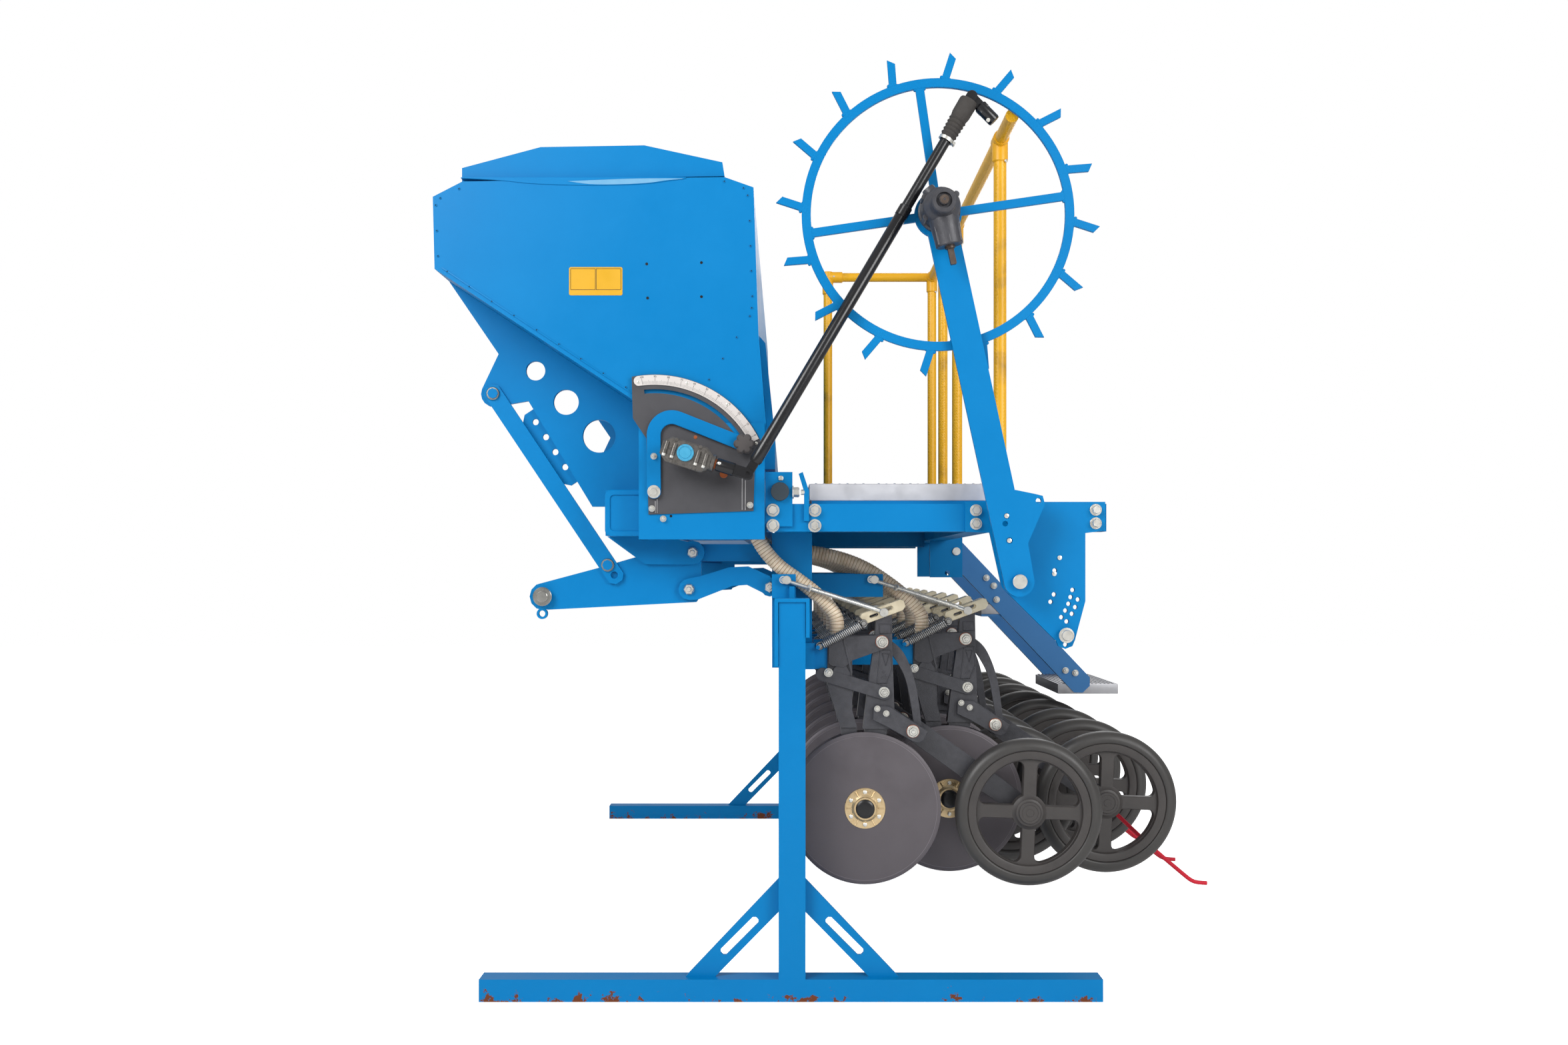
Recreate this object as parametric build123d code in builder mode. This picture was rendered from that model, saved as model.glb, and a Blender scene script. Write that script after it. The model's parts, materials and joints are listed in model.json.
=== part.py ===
from build123d import *
from math import atan2, cos, degrees, radians, sin
import os

# Mounted seed drill on its two parking stands, in millimetres.
# +X points to the rear, +Y to the far side, +Z up; the floor is Z = 0.
# X = 0 is the line of the stand posts and Y = 0 the middle of the drill.

os.makedirs("parts", exist_ok=True)

# ---------------------------------------------------------------- driving sizes
rows = 16
row_spacing = 150
rank_offset = 210          # rear rank stands this far behind the front rank
frame_half = 1200          # middle of each side beam from the mid-plane
beam = 60                  # square side and cross beams
beam_top = 1111
running_fit = 0.05         # radial clearance of a pin or axle in its bore
seat_gap = 0.3             # clearance between faces that only meet

post = 60
foot_height = 50
foot_front = -698
foot_rear = 693
stand_y = frame_half + 23
post_top = 891

disc_radius = 175
disc_x = 168
disc_z = 415
wheel_radius = 170
wheel_x = 547
wheel_z = 404
rim_sides = 16             # what there are sixteen of is many-sided, not truly round
disc_sides = 16
small_sides = 8
pin_sides = 6

hopper_half = 1250
hopper_wall = 3
toolbar_front = -422
toolbar_rear = -282
toolbar_bottom = 1040
toolbar_top = 1143
meter_bottom = 1031
meter_top = 1240

pivot_x = 497              # ground wheel arm pivot
pivot_z = 937
hub_x = 321
hub_z = 1745
ground_wheel_y = -1290
arm_y = -1307
arm_thickness = 12
shaft_y = -1318
joint_x = -97              # lower universal joint of the drive shaft
joint_z = 1172
shaft_top_x = 391
shaft_top_z = 1995

ladder_half = 200
ladder_pivot_x = 484
ladder_pivot_z = 1017
ladder_angle = 46.6        # below the horizontal, down to the rear

box_centre_x = 111.4       # middle of the whole drill's box on the floor
box_centre_y = -87.5

row_y = [(i - (rows - 1) / 2) * row_spacing for i in range(rows)]
row_x = [rank_offset * (i % 2) for i in range(rows)]
row_places = [(x, y, 0) for x, y in zip(row_x, row_y)]
front_places = row_places[0::2]
rear_places = row_places[1::2]


# ---------------------------------------------------------------- small helpers
def block(x, y, z, mode=Mode.ADD):
    """A box from its (low, high) range along each axis."""
    with Locations(((x[0] + x[1]) / 2, (y[0] + y[1]) / 2, (z[0] + z[1]) / 2)):
        Box(x[1] - x[0], y[1] - y[0], z[1] - z[0], mode=mode)


def disc_at(x, z, radius, sides, mode=Mode.ADD):
    """A circle in the open sketch, or a many-sided one: inside a round, outside a hole."""
    with Locations((x, z)):
        if sides:
            RegularPolygon(radius, sides, major_radius=mode != Mode.SUBTRACT, mode=mode)
        else:
            Circle(radius, mode=mode)


def slab(points, y, holes=(), rounds=(), sides=0, mode=Mode.ADD):
    """A plate standing lengthwise, from y[0] to y[1]. Points are (x, z);
    holes are cut and rounds are added as (x, z, radius)."""
    with BuildSketch(Plane.XZ.offset(-y[1])) as flat:
        with BuildLine():
            Polyline(*points, close=True)
        make_face()
        for x, z, radius in rounds:
            disc_at(x, z, radius, sides)
        for x, z, radius in holes:
            disc_at(x, z, radius, sides, Mode.SUBTRACT)
    extrude(flat.sketch, amount=y[1] - y[0], mode=mode)


def strip(start, end, width, y, holes=(), sides=0, square=False, mode=Mode.ADD):
    """A flat bar between two (x, z) points, from y[0] to y[1]. Its ends are rounded about
    the points, or with square they are clipped corners at the same reach."""
    middle = ((start[0] + end[0]) / 2, (start[1] + end[1]) / 2)
    run = (end[0] - start[0], end[1] - start[1])
    length = (run[0] ** 2 + run[1] ** 2) ** 0.5
    with BuildSketch(Plane.XZ.offset(-y[1])) as flat:
        with Locations(Location(middle, degrees(atan2(run[1], run[0])))):
            if square:
                Rectangle(length + width, width)
                chamfer(flat.vertices(), width * 0.28)
            else:
                SlotCenterToCenter(length, width)
        for x, z, radius in holes:
            disc_at(x, z, radius, sides, Mode.SUBTRACT)
    extrude(flat.sketch, amount=y[1] - y[0], mode=mode)


def rod(start, end, radius, sides=0, mode=Mode.ADD):
    """A round bar, or a many-sided one, between two points; a bore's flats touch its radius."""
    run = Vector(end) - Vector(start)
    with BuildSketch(Plane(origin=start, z_dir=run)) as section:
        if sides:
            RegularPolygon(radius, sides, major_radius=mode != Mode.SUBTRACT)
        else:
            Circle(radius)
    extrude(section.sketch, amount=run.length, mode=mode)


def cross_pin(x, z, y, radius, sides=0, mode=Mode.ADD):
    """A round bar lying across the drill at (x, z), from y[0] to y[1]."""
    rod((x, y[0], z), (x, y[1], z), radius, sides, mode)


def around(centre, radius, angle):
    """The point (x, z) at an angle in degrees round a centre, above +X."""
    turn = radians(angle)
    return (centre[0] + radius * cos(turn), centre[1] + radius * sin(turn))


def arc_band(centre, radii, angles, y, mode=Mode.ADD):
    """A flat curved bar round (x, z), between two radii and two angles."""
    inner, outer = radii
    low, high = angles
    middle = (low + high) / 2
    with BuildSketch(Plane.XZ.offset(-y[1])) as flat:
        with BuildLine():
            ThreePointArc(*[around(centre, outer, turn) for turn in (low, middle, high)])
            Line(around(centre, outer, high), around(centre, inner, high))
            ThreePointArc(*[around(centre, inner, turn) for turn in (high, middle, low)])
            Line(around(centre, inner, low), around(centre, outer, low))
        make_face()
    extrude(flat.sketch, amount=y[1] - y[0], mode=mode)


pieces = {}

# ---------------------------------------------------------------- parking stands
# Square post on a long foot, with two slotted flats as braces.
brace_foot = (172, 239)
brace_top = (195, 270)
brace_thickness = 8
brace_slot = (112, 18)
with BuildPart() as parking_stands:
    stand_near = (-stand_y - post / 2, -stand_y + post / 2)
    block((foot_front, foot_rear), stand_near, (0, foot_height))
    block((-post / 2, post / 2), stand_near, (foot_height, post_top))
    brace_y = (-stand_y - brace_thickness / 2, -stand_y + brace_thickness / 2)
    slot_middle = ((sum(brace_foot) / 2 + post / 2) / 2, (foot_height + sum(brace_top) / 2) / 2)
    slot_half = (brace_slot[0] - brace_slot[1]) / 2 * cos(radians(45))
    for side in (-1, 1):
        slab(
            [
                (side * brace_foot[1], foot_height),
                (side * brace_foot[0], foot_height),
                (side * post / 2, brace_top[0]),
                (side * post / 2, brace_top[1]),
            ],
            brace_y,
        )
        strip(
            (side * (slot_middle[0] - slot_half), slot_middle[1] + slot_half),
            (side * (slot_middle[0] + slot_half), slot_middle[1] - slot_half),
            brace_slot[1],
            brace_y,
            square=True,
            mode=Mode.SUBTRACT,
        )
    mirror(about=Plane.XZ)
pieces["parking_stands"] = parking_stands

# ---------------------------------------------------------------- main frame
# Side beams, cross beams, deck supports, rail feet and the ladder's brackets.
beam_bottom = beam_top - 62
side_beam_front = -57
near_beam_rear = 705
far_beam_rear = 480
cross_front = (-40, 40)
cross_rear = (395, 455)
leg_x = (-46, 47)
leg_y = (frame_half - 137, frame_half - 97)
inner_leg_y = (280, 320)
bar_x = (-8, 52)
bar_z = (735, 795)
bar_end = 1160
tie_bar_x = (-6, 6)
tie_bar_z = (885, 925)
bracket_front = -46
bracket_z = (898, 953)
bracket_y = (-24, -19)      # from the middle of its row
bracket_end = 9
tie_pin_x = -20
tie_pin_z = 940
tie_pin_radius = 7
tie_pin_end = -37
unit_front = 82             # front face of a row unit's seed boot
lug_half = 15
spring_y = -38
spring_radius = 12
spring_low = (59, 786)
spring_high = (168, 842)
spring_pin_radius = 5
socket_wall = 8
socket_gap = 1
socket_left_bottom = 748
socket_right_bottom = 812
stub_x = (-39, -9)
stub_z = (820, 895)
deck_top = 1158
deck_bottom = 1120
deck_x = (39, 465)
deck_half = 1190
support_y = (130, 170)
support_bottom = 1031
rail_x = 488
rail_radius = 15
rail_posts = (-1079, -200, 200, 560)
ladder_clear = 5
ladder_pin_radius = 8
bracket_plate = 8
link_pin = (-51, 923)       # where the lower hitch links meet the outer legs
link_pin_radius = 10
link_lug = 10               # thickness of that lug
pin_clear = 0.2
with BuildPart() as main_frame:
    inner = frame_half - beam / 2
    for side in (-1, 1):
        beam_y = sorted((side * inner, side * (frame_half + beam / 2)))
        rear = near_beam_rear if side < 0 else far_beam_rear
        block((side_beam_front, rear), beam_y, (beam_bottom, beam_top))
        pad_y = sorted((side * inner, side * deck_half))
        block((deck_x[0] + 6, deck_x[1] - 6), pad_y, (beam_top, deck_bottom))
        support = sorted((side * support_y[0], side * support_y[1]))
        block((cross_front[1], cross_rear[0]), support, (support_bottom, deck_bottom))
        ladder_bracket = sorted(
            (
                side * (ladder_half + ladder_clear),
                side * (ladder_half + ladder_clear + bracket_plate),
            )
        )
        slab(
            [(407, 941), (502, 941), (502, 1074), (407, 1074)],
            ladder_bracket,
            holes=[(458, 954, 7)],
            sides=small_sides,
        )
        pin_y = sorted((side * (ladder_half - 12), side * (ladder_half + ladder_clear + 4)))
        cross_pin(ladder_pivot_x, ladder_pivot_z, pin_y, ladder_pin_radius)
    block(cross_front, (-inner, inner), (beam_bottom, beam_top))
    block(cross_rear, (-inner, inner), (beam_bottom, beam_top))
    for y in rail_posts:
        block((cross_rear[1], rail_x + 17), (y - 22, y + 22), (beam_top - 12, beam_top))
    near_face = (-frame_half - beam / 2 - 8, -frame_half - beam / 2)
    slab([(-60, 1060), (1, 1060), (1, 1182), (-60, 1182)], near_face)
    cross_pin(-27, 1138, (near_face[0] - 10, near_face[0]), 20, 12)
    slab([(15, 1178), (24, 1182), (38, 1140), (38, 1072), (27, 1072), (27, 1138)], near_face)
pieces["main_frame"] = main_frame

# ---------------------------------------------------------------- coulter frame
# Four legs under the main frame, the bar and tie bar that carry the rows, and the stand sockets.
with BuildPart() as coulter_bars:
    for low, high in (leg_y, inner_leg_y):
        for y in ((low, high), (-high, -low)):
            block(leg_x, y, (bar_z[0], beam_bottom))
    for side in (-1, 1):
        lug_y = sorted((side * (leg_y[1] - link_lug), side * leg_y[1]))
        cross_pin(*link_pin, lug_y, 22, 12)
    block(tie_bar_x, (-bar_end, bar_end), tie_bar_z)
    block(bar_x, (-bar_end, bar_end), bar_z)
    for side in (-1, 1):
        socket_y = sorted((side * (stand_y - post / 2 - 5), side * (stand_y + post / 2 + 5)))
        half = post / 2 + socket_gap
        top = post_top + socket_wall
        block((-half - socket_wall, half + socket_wall), socket_y, (post_top, top))
        block((-half - socket_wall, -half), socket_y, (socket_left_bottom, post_top))
        block((half, half + socket_wall), socket_y, (socket_right_bottom, post_top))
        stub_y = sorted((side * leg_y[1], side * (stand_y - post / 2 - 5)))
        block(stub_x, stub_y, stub_z)

with BuildPart() as row_bracket:
    block((bracket_front, bracket_end), bracket_y, bracket_z)
    cross_pin(tie_pin_x, tie_pin_z, (tie_pin_end, bracket_y[1]), tie_pin_radius, pin_sides)
    block((bar_x[1], unit_front - seat_gap), (-lug_half, lug_half), bar_z)
    pin_y = (spring_y - 13, -lug_half)
    cross_pin(*spring_low, pin_y, spring_pin_radius, pin_sides)

with BuildPart() as rear_row_bracket:
    block((bracket_front - rank_offset, bracket_end), bracket_y, bracket_z)
    cross_pin(tie_pin_x, tie_pin_z, (tie_pin_end, bracket_y[1]), tie_pin_radius, pin_sides)
    block((bar_x[1] - rank_offset, unit_front - seat_gap), (-lug_half, lug_half), bar_z)
    cross_pin(*spring_low, pin_y, spring_pin_radius, pin_sides)

with BuildPart() as coulter_frame:
    add(coulter_bars.part)
    with Locations(*front_places):
        add(row_bracket.part)
    with Locations(*rear_places):
        add(rear_row_bracket.part)
    for side in (-1, 1):
        hole_y = sorted((side * (leg_y[1] - link_lug), side * (leg_y[1] + link_lug)))
        cross_pin(
            *link_pin, hole_y, link_pin_radius + pin_clear, small_sides, mode=Mode.SUBTRACT
        )
pieces["coulter_frame"] = coulter_frame

# ---------------------------------------------------------------- row units
# Drawn once, on the middle of a row of the front rank, and set at every row.
unit_half = 18
plate = 6
plate_near = (-unit_half - plate, -unit_half)
plate_far = (unit_half, unit_half + plate)
carrier_half = 13
disc_inner = 20
disc_thickness = 4
axle_radius = 12
upper_pin = (208, 797)
lower_pin = (213, 679)
with BuildPart() as shank:
    slab(
        [
            (196, 868), (230, 868), (232, 760), (236, 640),
            (244, 597), (164, 597), (176, 700), (190, 800),
        ],
        (-unit_half, unit_half),
    )
    slab(
        [(176, 640), (226, 640), (198, 425), (186, 388), (150, 388), (138, 425)],
        (-carrier_half, carrier_half),
        holes=[(disc_x, disc_z, axle_radius + running_fit)],
        sides=small_sides,
    )

with BuildPart() as coulter_shanks:
    with Locations(*row_places):
        add(shank.part)
pieces["coulter_shanks"] = coulter_shanks

boot_rear = 139
boot_top = 790
with BuildPart() as boot:
    slab(
        [
            (unit_front, boot_top), (boot_rear, boot_top), (boot_rear, 640),
            (150, 600), (112, 600), (unit_front, 700),
        ],
        (-unit_half, unit_half),
    )
    slab([(112, 600), (150, 600), (150, 530), (128, 500)], (-12, 12))

with BuildPart() as seed_boots:
    with Locations(*row_places):
        add(boot.part)
pieces["seed_boots"] = seed_boots

with BuildPart() as arm_plates:
    for y in (plate_near, plate_far):
        slab([(84, 745), (84, 809), (208, 813), (224, 803), (220, 785), (140, 755)], y)
        strip((70, 723), lower_pin, 30, y, square=True)

with BuildPart() as coulter_arms:
    with Locations(*row_places):
        add(arm_plates.part)
pieces["coulter_arms"] = coulter_arms

arm_root = [(186, 618), (188, 650), (222, 650), (312, 592), (290, 566), (212, 606)]
arm_knee = (290, 586)
arm_width = 52
wheel_half = 25
arm_inner = (-wheel_half - 5, -unit_half)
arm_outer = (wheel_half + 5, wheel_half + 11)
wheel_pin_radius = 10
wheel_pin_end = -14.7
guard_outer = [(232.5, 797), (262, 765), (288, 690), (300, 600)]
guard_inner = [(282, 604), (268, 690), (244, 748), (232.5, 765)]
with BuildPart() as press_arm:
    slab(arm_root, arm_inner)
    slab(arm_root, (unit_half, arm_outer[1]))
    cross_pin(*arm_knee, (arm_inner[1], unit_half), 14, pin_sides)
    strip(arm_knee, (wheel_x, wheel_z), arm_width, arm_outer, square=True)
    cross_pin(wheel_x, wheel_z, (wheel_pin_end, arm_outer[1]), wheel_pin_radius, small_sides)
    slab(guard_outer + guard_inner, (-3, 3))

with BuildPart() as press_arms:
    with Locations(*row_places):
        add(press_arm.part)
pieces["press_arms"] = press_arms

with BuildPart() as spring:
    run = Vector(spring_high[0] - spring_low[0], 0, spring_high[1] - spring_low[1])
    ahead = run.normalized() * (spring_pin_radius + seat_gap)
    start = Vector(spring_low[0], spring_y, spring_low[1]) + ahead
    end = Vector(spring_high[0], spring_y, spring_high[1]) - ahead
    rod(start, end, spring_radius, pin_sides)

with BuildPart() as coulter_springs:
    with Locations(*row_places):
        add(spring.part)
pieces["coulter_springs"] = coulter_springs

adjuster_low = (172, 853)
adjuster_high = (247, 881)
adjuster_width = 26
tie_end = (212, 866)
with BuildPart() as adjuster:
    for y in (plate_near, plate_far):
        strip(adjuster_low, adjuster_high, adjuster_width, y, square=True)
    cross_pin(*adjuster_high, (plate_near[1], plate_far[0]), 10, pin_sides)
    cross_pin(*spring_high, (spring_y - 13, plate_near[0]), spring_pin_radius, pin_sides)
    cross_pin(*tie_end, (tie_pin_end, plate_near[0]), tie_pin_radius, pin_sides)

with BuildPart() as tie_rod:
    rod_y = (tie_pin_end + plate_near[0]) / 2
    low = Vector(tie_pin_x, rod_y, tie_pin_z)
    high = Vector(tie_end[0], rod_y, tie_end[1])
    inset = (high - low).normalized() * (tie_pin_radius + seat_gap)
    rod(low + inset, high - inset, 5, pin_sides)

with BuildPart() as tie_rods:
    with Locations(*row_places):
        add(adjuster.part)
        add(tie_rod.part)
pieces["tie_rods"] = tie_rods

# ---------------------------------------------------------------- seed hoses
# One for each row, from the meter's slanted outlet face to the top of its boot.
hose_radius = 17
facet_turn = 22             # each bend is cut into flats of about this many degrees
outlet_x = -88
outlet_z = 1053
boot_mouth = 104
front_route = [(46, 919), (boot_mouth, 846), (boot_mouth, boot_top + seat_gap)]
rear_route = [
    (-40, 1005), (60, 1010), (165, 975), (255, 905),
    (boot_mouth + rank_offset, 845), (boot_mouth + rank_offset, boot_top + seat_gap),
]


def bend_radii(points):
    """The largest arc at each corner: 0.45 of the shorter run over the tangent of half the turn."""
    corners = [Vector(*p) for p in points]
    radii = []
    for a, b, c in zip(corners, corners[1:], corners[2:]):
        half_turn = radians((b - a).get_angle(c - b)) / 2
        radii.append(0.45 * min((b - a).length, (c - b).length) * cos(half_turn) / sin(half_turn))
    return radii


def hose(route):
    """A hose in the middle of its row."""
    start = (outlet_x + seat_gap * sin(radians(45)), outlet_z - seat_gap * sin(radians(45)))
    points = [(x, 0, z) for x, z in [start] + route]
    radii = bend_radii(points)
    print("seed hose bend radii", [round(radius) for radius in radii])
    with BuildLine() as curve:
        FilletPolyline(*points, radius=radii)
    facets = []
    for edge in curve.wire().order_edges():
        turn = (edge % 0).get_angle(edge % 1)
        steps = max(1, round(turn / facet_turn))
        facets += [edge @ (step / steps) for step in range(steps)]
    with BuildPart() as tube:
        with BuildLine() as path:
            Polyline(*facets, points[-1])
        with BuildSketch(Plane(origin=path.line @ 0, z_dir=path.line % 0)):
            RegularPolygon(hose_radius, pin_sides)
        sweep(path=path.line, transition=Transition.RIGHT)
    return tube.part


with BuildPart() as seed_hoses:
    with Locations(*[(0, y, 0) for x, y, z in front_places]):
        add(hose(front_route))
    with Locations(*[(0, y, 0) for x, y, z in rear_places]):
        add(hose(rear_route))
pieces["seed_hoses"] = seed_hoses

# ---------------------------------------------------------------- covering tines
tine_y = 75
tine_radius = 5
with BuildPart() as tine:
    points = [
        (wheel_x, arm_outer[1] + seat_gap, wheel_z),
        (wheel_x, tine_y, wheel_z),
        (671, tine_y, 284),
        (775, tine_y, 198),
        (813, tine_y, 191),
    ]
    with BuildLine() as path:
        Polyline(*points)
    with BuildSketch(Plane(origin=points[0], z_dir=(0, 1, 0))):
        RegularPolygon(tine_radius, 4)
    sweep(path=path.line, transition=Transition.RIGHT)

with BuildPart() as covering_tines:
    with Locations(*rear_places):
        add(tine.part)
pieces["covering_tines"] = covering_tines

# ---------------------------------------------------------------- discs and press wheels
with BuildPart() as disc_pair:
    disc_outer = disc_inner + disc_thickness
    for side in (-1, 1):
        disc_y = sorted((side * disc_inner, side * disc_outer))
        cross_pin(disc_x, disc_z, disc_y, disc_radius, disc_sides)
        hub_y = sorted((side * (carrier_half + 1), side * disc_inner))
        cross_pin(disc_x, disc_z, hub_y, 30, pin_sides)
        flange_y = sorted((side * disc_outer, side * (disc_outer + 8)))
        cross_pin(disc_x, disc_z, flange_y, 47, pin_sides)
    cross_pin(disc_x, disc_z, (-disc_inner, disc_inner), axle_radius, small_sides)

rim_inner = 119
shoulder = 14
with BuildPart() as press_wheel:
    cross_pin(wheel_x, wheel_z, (-wheel_half, wheel_half), wheel_radius, rim_sides)
    outer_edges = [
        e for e in press_wheel.edges() if abs(abs(e.center().Y) - wheel_half) < 0.1
    ]
    chamfer(outer_edges, shoulder)
    cross_pin(
        wheel_x, wheel_z, (-wheel_half, wheel_half), rim_inner, rim_sides, mode=Mode.SUBTRACT
    )
    for along, up in ((rim_inner + 4, 16), (16, rim_inner + 4)):
        block((wheel_x - along, wheel_x + along), (-7, 7), (wheel_z - up, wheel_z + up))
    cross_pin(wheel_x, wheel_z, (-22, wheel_half), 25, pin_sides)
    bore = (wheel_pin_end - seat_gap, wheel_half)
    cross_pin(
        wheel_x, wheel_z, bore, wheel_pin_radius + running_fit, small_sides, mode=Mode.SUBTRACT
    )

for number, place in enumerate(row_places, 1):
    for name, unit in (("disc_pair", disc_pair), ("press_wheel", press_wheel)):
        with BuildPart() as copy:
            with Locations(place):
                add(unit.part)
        pieces[f"{name}_{number:02d}"] = copy

# ---------------------------------------------------------------- hitch frame
hitch_y = (frame_half - 106, frame_half - 94)
outer_gap = 0.3
slant_front = (-797, 1634)
slant_knee = (-356, 1343)
hopper_low_front = -200
boss = (-693, 1372)
boss_pin_radius = 12
strap_low = (-427, 974)
arm_top_pin = (-230, 1003)
arm_low_pin = (-238, 918)
bracket_outer = (hitch_y[1] + outer_gap, hitch_y[1] + 12)
with BuildPart() as hitch_frame:
    block((toolbar_front, toolbar_rear), (-frame_half, frame_half), (toolbar_bottom, toolbar_top))
    recess_x = (toolbar_front + 8, toolbar_rear - 8)
    recess_z = (toolbar_bottom + 8, toolbar_top - 8)
    block(recess_x, (-frame_half, -frame_half + 6), recess_z, mode=Mode.SUBTRACT)
    slab(
        [
            (-797, 1633.5), (-682, 1465), (-720, 1385), (-693, 1342), (-613, 1356),
            (-464, 1110), (toolbar_front, 1110), (toolbar_front, toolbar_top),
            (toolbar_rear, toolbar_top), (toolbar_rear, 1293.8), (-356, 1342.6),
        ],
        (-hitch_y[1], -hitch_y[0]),
        rounds=[(boss[0], boss[1], 30)],
        holes=[
            (boss[0], boss[1], boss_pin_radius + pin_clear),
            (-596, 1426, 23), (-525, 1353, 30), (-448, 1274, 39),
        ],
        sides=16,
    )
    strip(
        (-598, 1308), (-520, 1190), 56, (-hitch_y[0], -hitch_y[0] + 8),
        holes=[(-598, 1308, 8), (-574, 1273, 8), (-552, 1238, 8), (-529, 1203, 8)],
        sides=small_sides,
        square=True,
    )
    slab(
        [(-428, toolbar_bottom), (-354, 986), (-340, 976), (-230, 975), (-210, 1020), (-290, toolbar_bottom)],
        (-bracket_outer[1], -bracket_outer[0]),
        rounds=[(arm_top_pin[0], arm_top_pin[1], 28)],
        holes=[(arm_top_pin[0], arm_top_pin[1], boss_pin_radius + pin_clear)],
        sides=12,
    )
    mirror(about=Plane.XZ)
pieces["hitch_frame"] = hitch_frame

hitch_pin = (-578, 901)
hitch_pin_radius = 14
hitch_pin_length = 80
with BuildPart() as coupling_arms:
    slab(
        [
            (-590, 930), (-448, 968), (-365, 992), (-210, 985),
            (-210, 905), (-222, 888), (-569, 870),
        ],
        (-hitch_y[1], -hitch_y[0]),
        rounds=[
            (hitch_pin[0], hitch_pin[1], 32), (-581, 861, 12.6),
            (arm_top_pin[0], arm_top_pin[1], 25), (arm_low_pin[0], arm_low_pin[1], 25),
        ],
        holes=[(strap_low[0], strap_low[1], boss_pin_radius + pin_clear)],
        sides=12,
    )
    cross_pin(-581, 861, (-hitch_y[1], -hitch_y[0]), 7.6, mode=Mode.SUBTRACT)
    cross_pin(*hitch_pin, (-hitch_y[1] - 14, -hitch_y[0] + hitch_pin_length), hitch_pin_radius)
    for pin in (arm_top_pin, arm_low_pin):
        cross_pin(*pin, (-bracket_outer[1] - 5, -hitch_y[0]), boss_pin_radius, small_sides)
    mirror(about=Plane.XZ)
pieces["coupling_arms"] = coupling_arms

strap_y = (-hitch_y[1] - outer_gap - 8, -hitch_y[1] - outer_gap)
link_y = (-bracket_outer[1], -bracket_outer[0])
with BuildPart() as hitch_links:
    strap_end = (-412, 951)
    strip(boss, strap_end, 40, strap_y, holes=[(*strap_end, 9)], sides=small_sides, square=True)
    for pin in (boss, strap_low):
        cross_pin(*pin, (strap_y[0] - 8, -hitch_y[0] + 5), boss_pin_radius, small_sides)
    slab(
        [
            (-238, 943), (-213, 948), (-144, 969), (-101, 971), (-50, 948),
            (-50, 901), (-104, 928), (-138, 925.5), (-218, 894), (-238, 893),
        ],
        link_y,
        rounds=[(arm_low_pin[0], arm_low_pin[1], 25), (link_pin[0], link_pin[1], 22)],
        holes=[(arm_low_pin[0], arm_low_pin[1], boss_pin_radius + pin_clear)],
        sides=12,
    )
    link_pin_y = (-bracket_outer[1] - 5, -leg_y[1] + link_lug)
    cross_pin(*link_pin, link_pin_y, link_pin_radius, small_sides)
    slab(
        [(-258, 983), (leg_x[0], 983), (leg_x[0], 1023), (-258, 1023)],
        (-hitch_y[0] + outer_gap, -hitch_y[0] + 12),
    )
    mirror(about=Plane.XZ)
pieces["hitch_links"] = hitch_links

# ---------------------------------------------------------------- hopper and lid
hopper_outline = [
    (-801, 1795), (-735, 1829), (-151, 1839), (-86, 1816), (-75, 1494),
    (-54, meter_top), (hopper_low_front, meter_top), slant_knee, slant_front,
]
mouth_x = (-700, -190)
mouth_half = hopper_half - 60
hinge_x = -748.5
hinge_z = 1839
hinge_pin_radius = 4
knuckle_radius = 8
knuckles = (-1050, -350, 350, 1050)
with BuildPart() as hopper:
    with BuildSketch(Plane.XZ.offset(-hopper_half)) as side_view:
        with BuildLine():
            Polyline(*hopper_outline, close=True)
        make_face()
    extrude(amount=2 * hopper_half)
    with BuildSketch(Plane.XZ.offset(-hopper_half + hopper_wall)):
        with BuildLine():
            Polyline(*hopper_outline, close=True)
        make_face()
        offset(amount=-hopper_wall, kind=Kind.INTERSECTION, mode=Mode.REPLACE)
    extrude(amount=2 * (hopper_half - hopper_wall), mode=Mode.SUBTRACT)
    block(mouth_x, (-mouth_half, mouth_half), (1800, 1860), mode=Mode.SUBTRACT)
    for y in knuckles:
        for low in (y - 24, y + 12):
            slab(
                [
                    (hinge_x - 7, 1816.5), (hinge_x + 7, 1824),
                    (hinge_x + 7, hinge_z), (hinge_x - 7, hinge_z),
                ],
                (low, low + 12),
                rounds=[(hinge_x, hinge_z, knuckle_radius)],
                sides=small_sides,
            )
        cross_pin(hinge_x, hinge_z, (y - 12, y + 12), hinge_pin_radius, small_sides)
pieces["hopper"] = hopper

lid_outline = [
    (-739, 1833), (-739, 1863), (-563, 1910), (-331, 1914), (-156, 1876), (-151, 1845),
]
lid_half = 1235
lid_wall = 3
with BuildPart() as hopper_lid:
    slab(lid_outline, (-lid_half, lid_half))
    slab(
        [
            (-736, 1820), (-736, 1860.5), (-562.5, 1907), (-331.5, 1911),
            (-158.5, 1873.5), (-154, 1820),
        ],
        (-lid_half + lid_wall, lid_half - lid_wall),
        mode=Mode.SUBTRACT,
    )
    for y in knuckles:
        slab(
            [(hinge_x, hinge_z + 8), (-738, 1855), (-738, 1836), (hinge_x, hinge_z - 8)],
            (y - 11, y + 11),
            rounds=[(hinge_x, hinge_z, knuckle_radius)],
            sides=small_sides,
        )
        bore = hinge_pin_radius + running_fit
        cross_pin(hinge_x, hinge_z, (y - 12, y + 12), bore, small_sides, mode=Mode.SUBTRACT)
pieces["hopper_lid"] = hopper_lid

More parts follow.
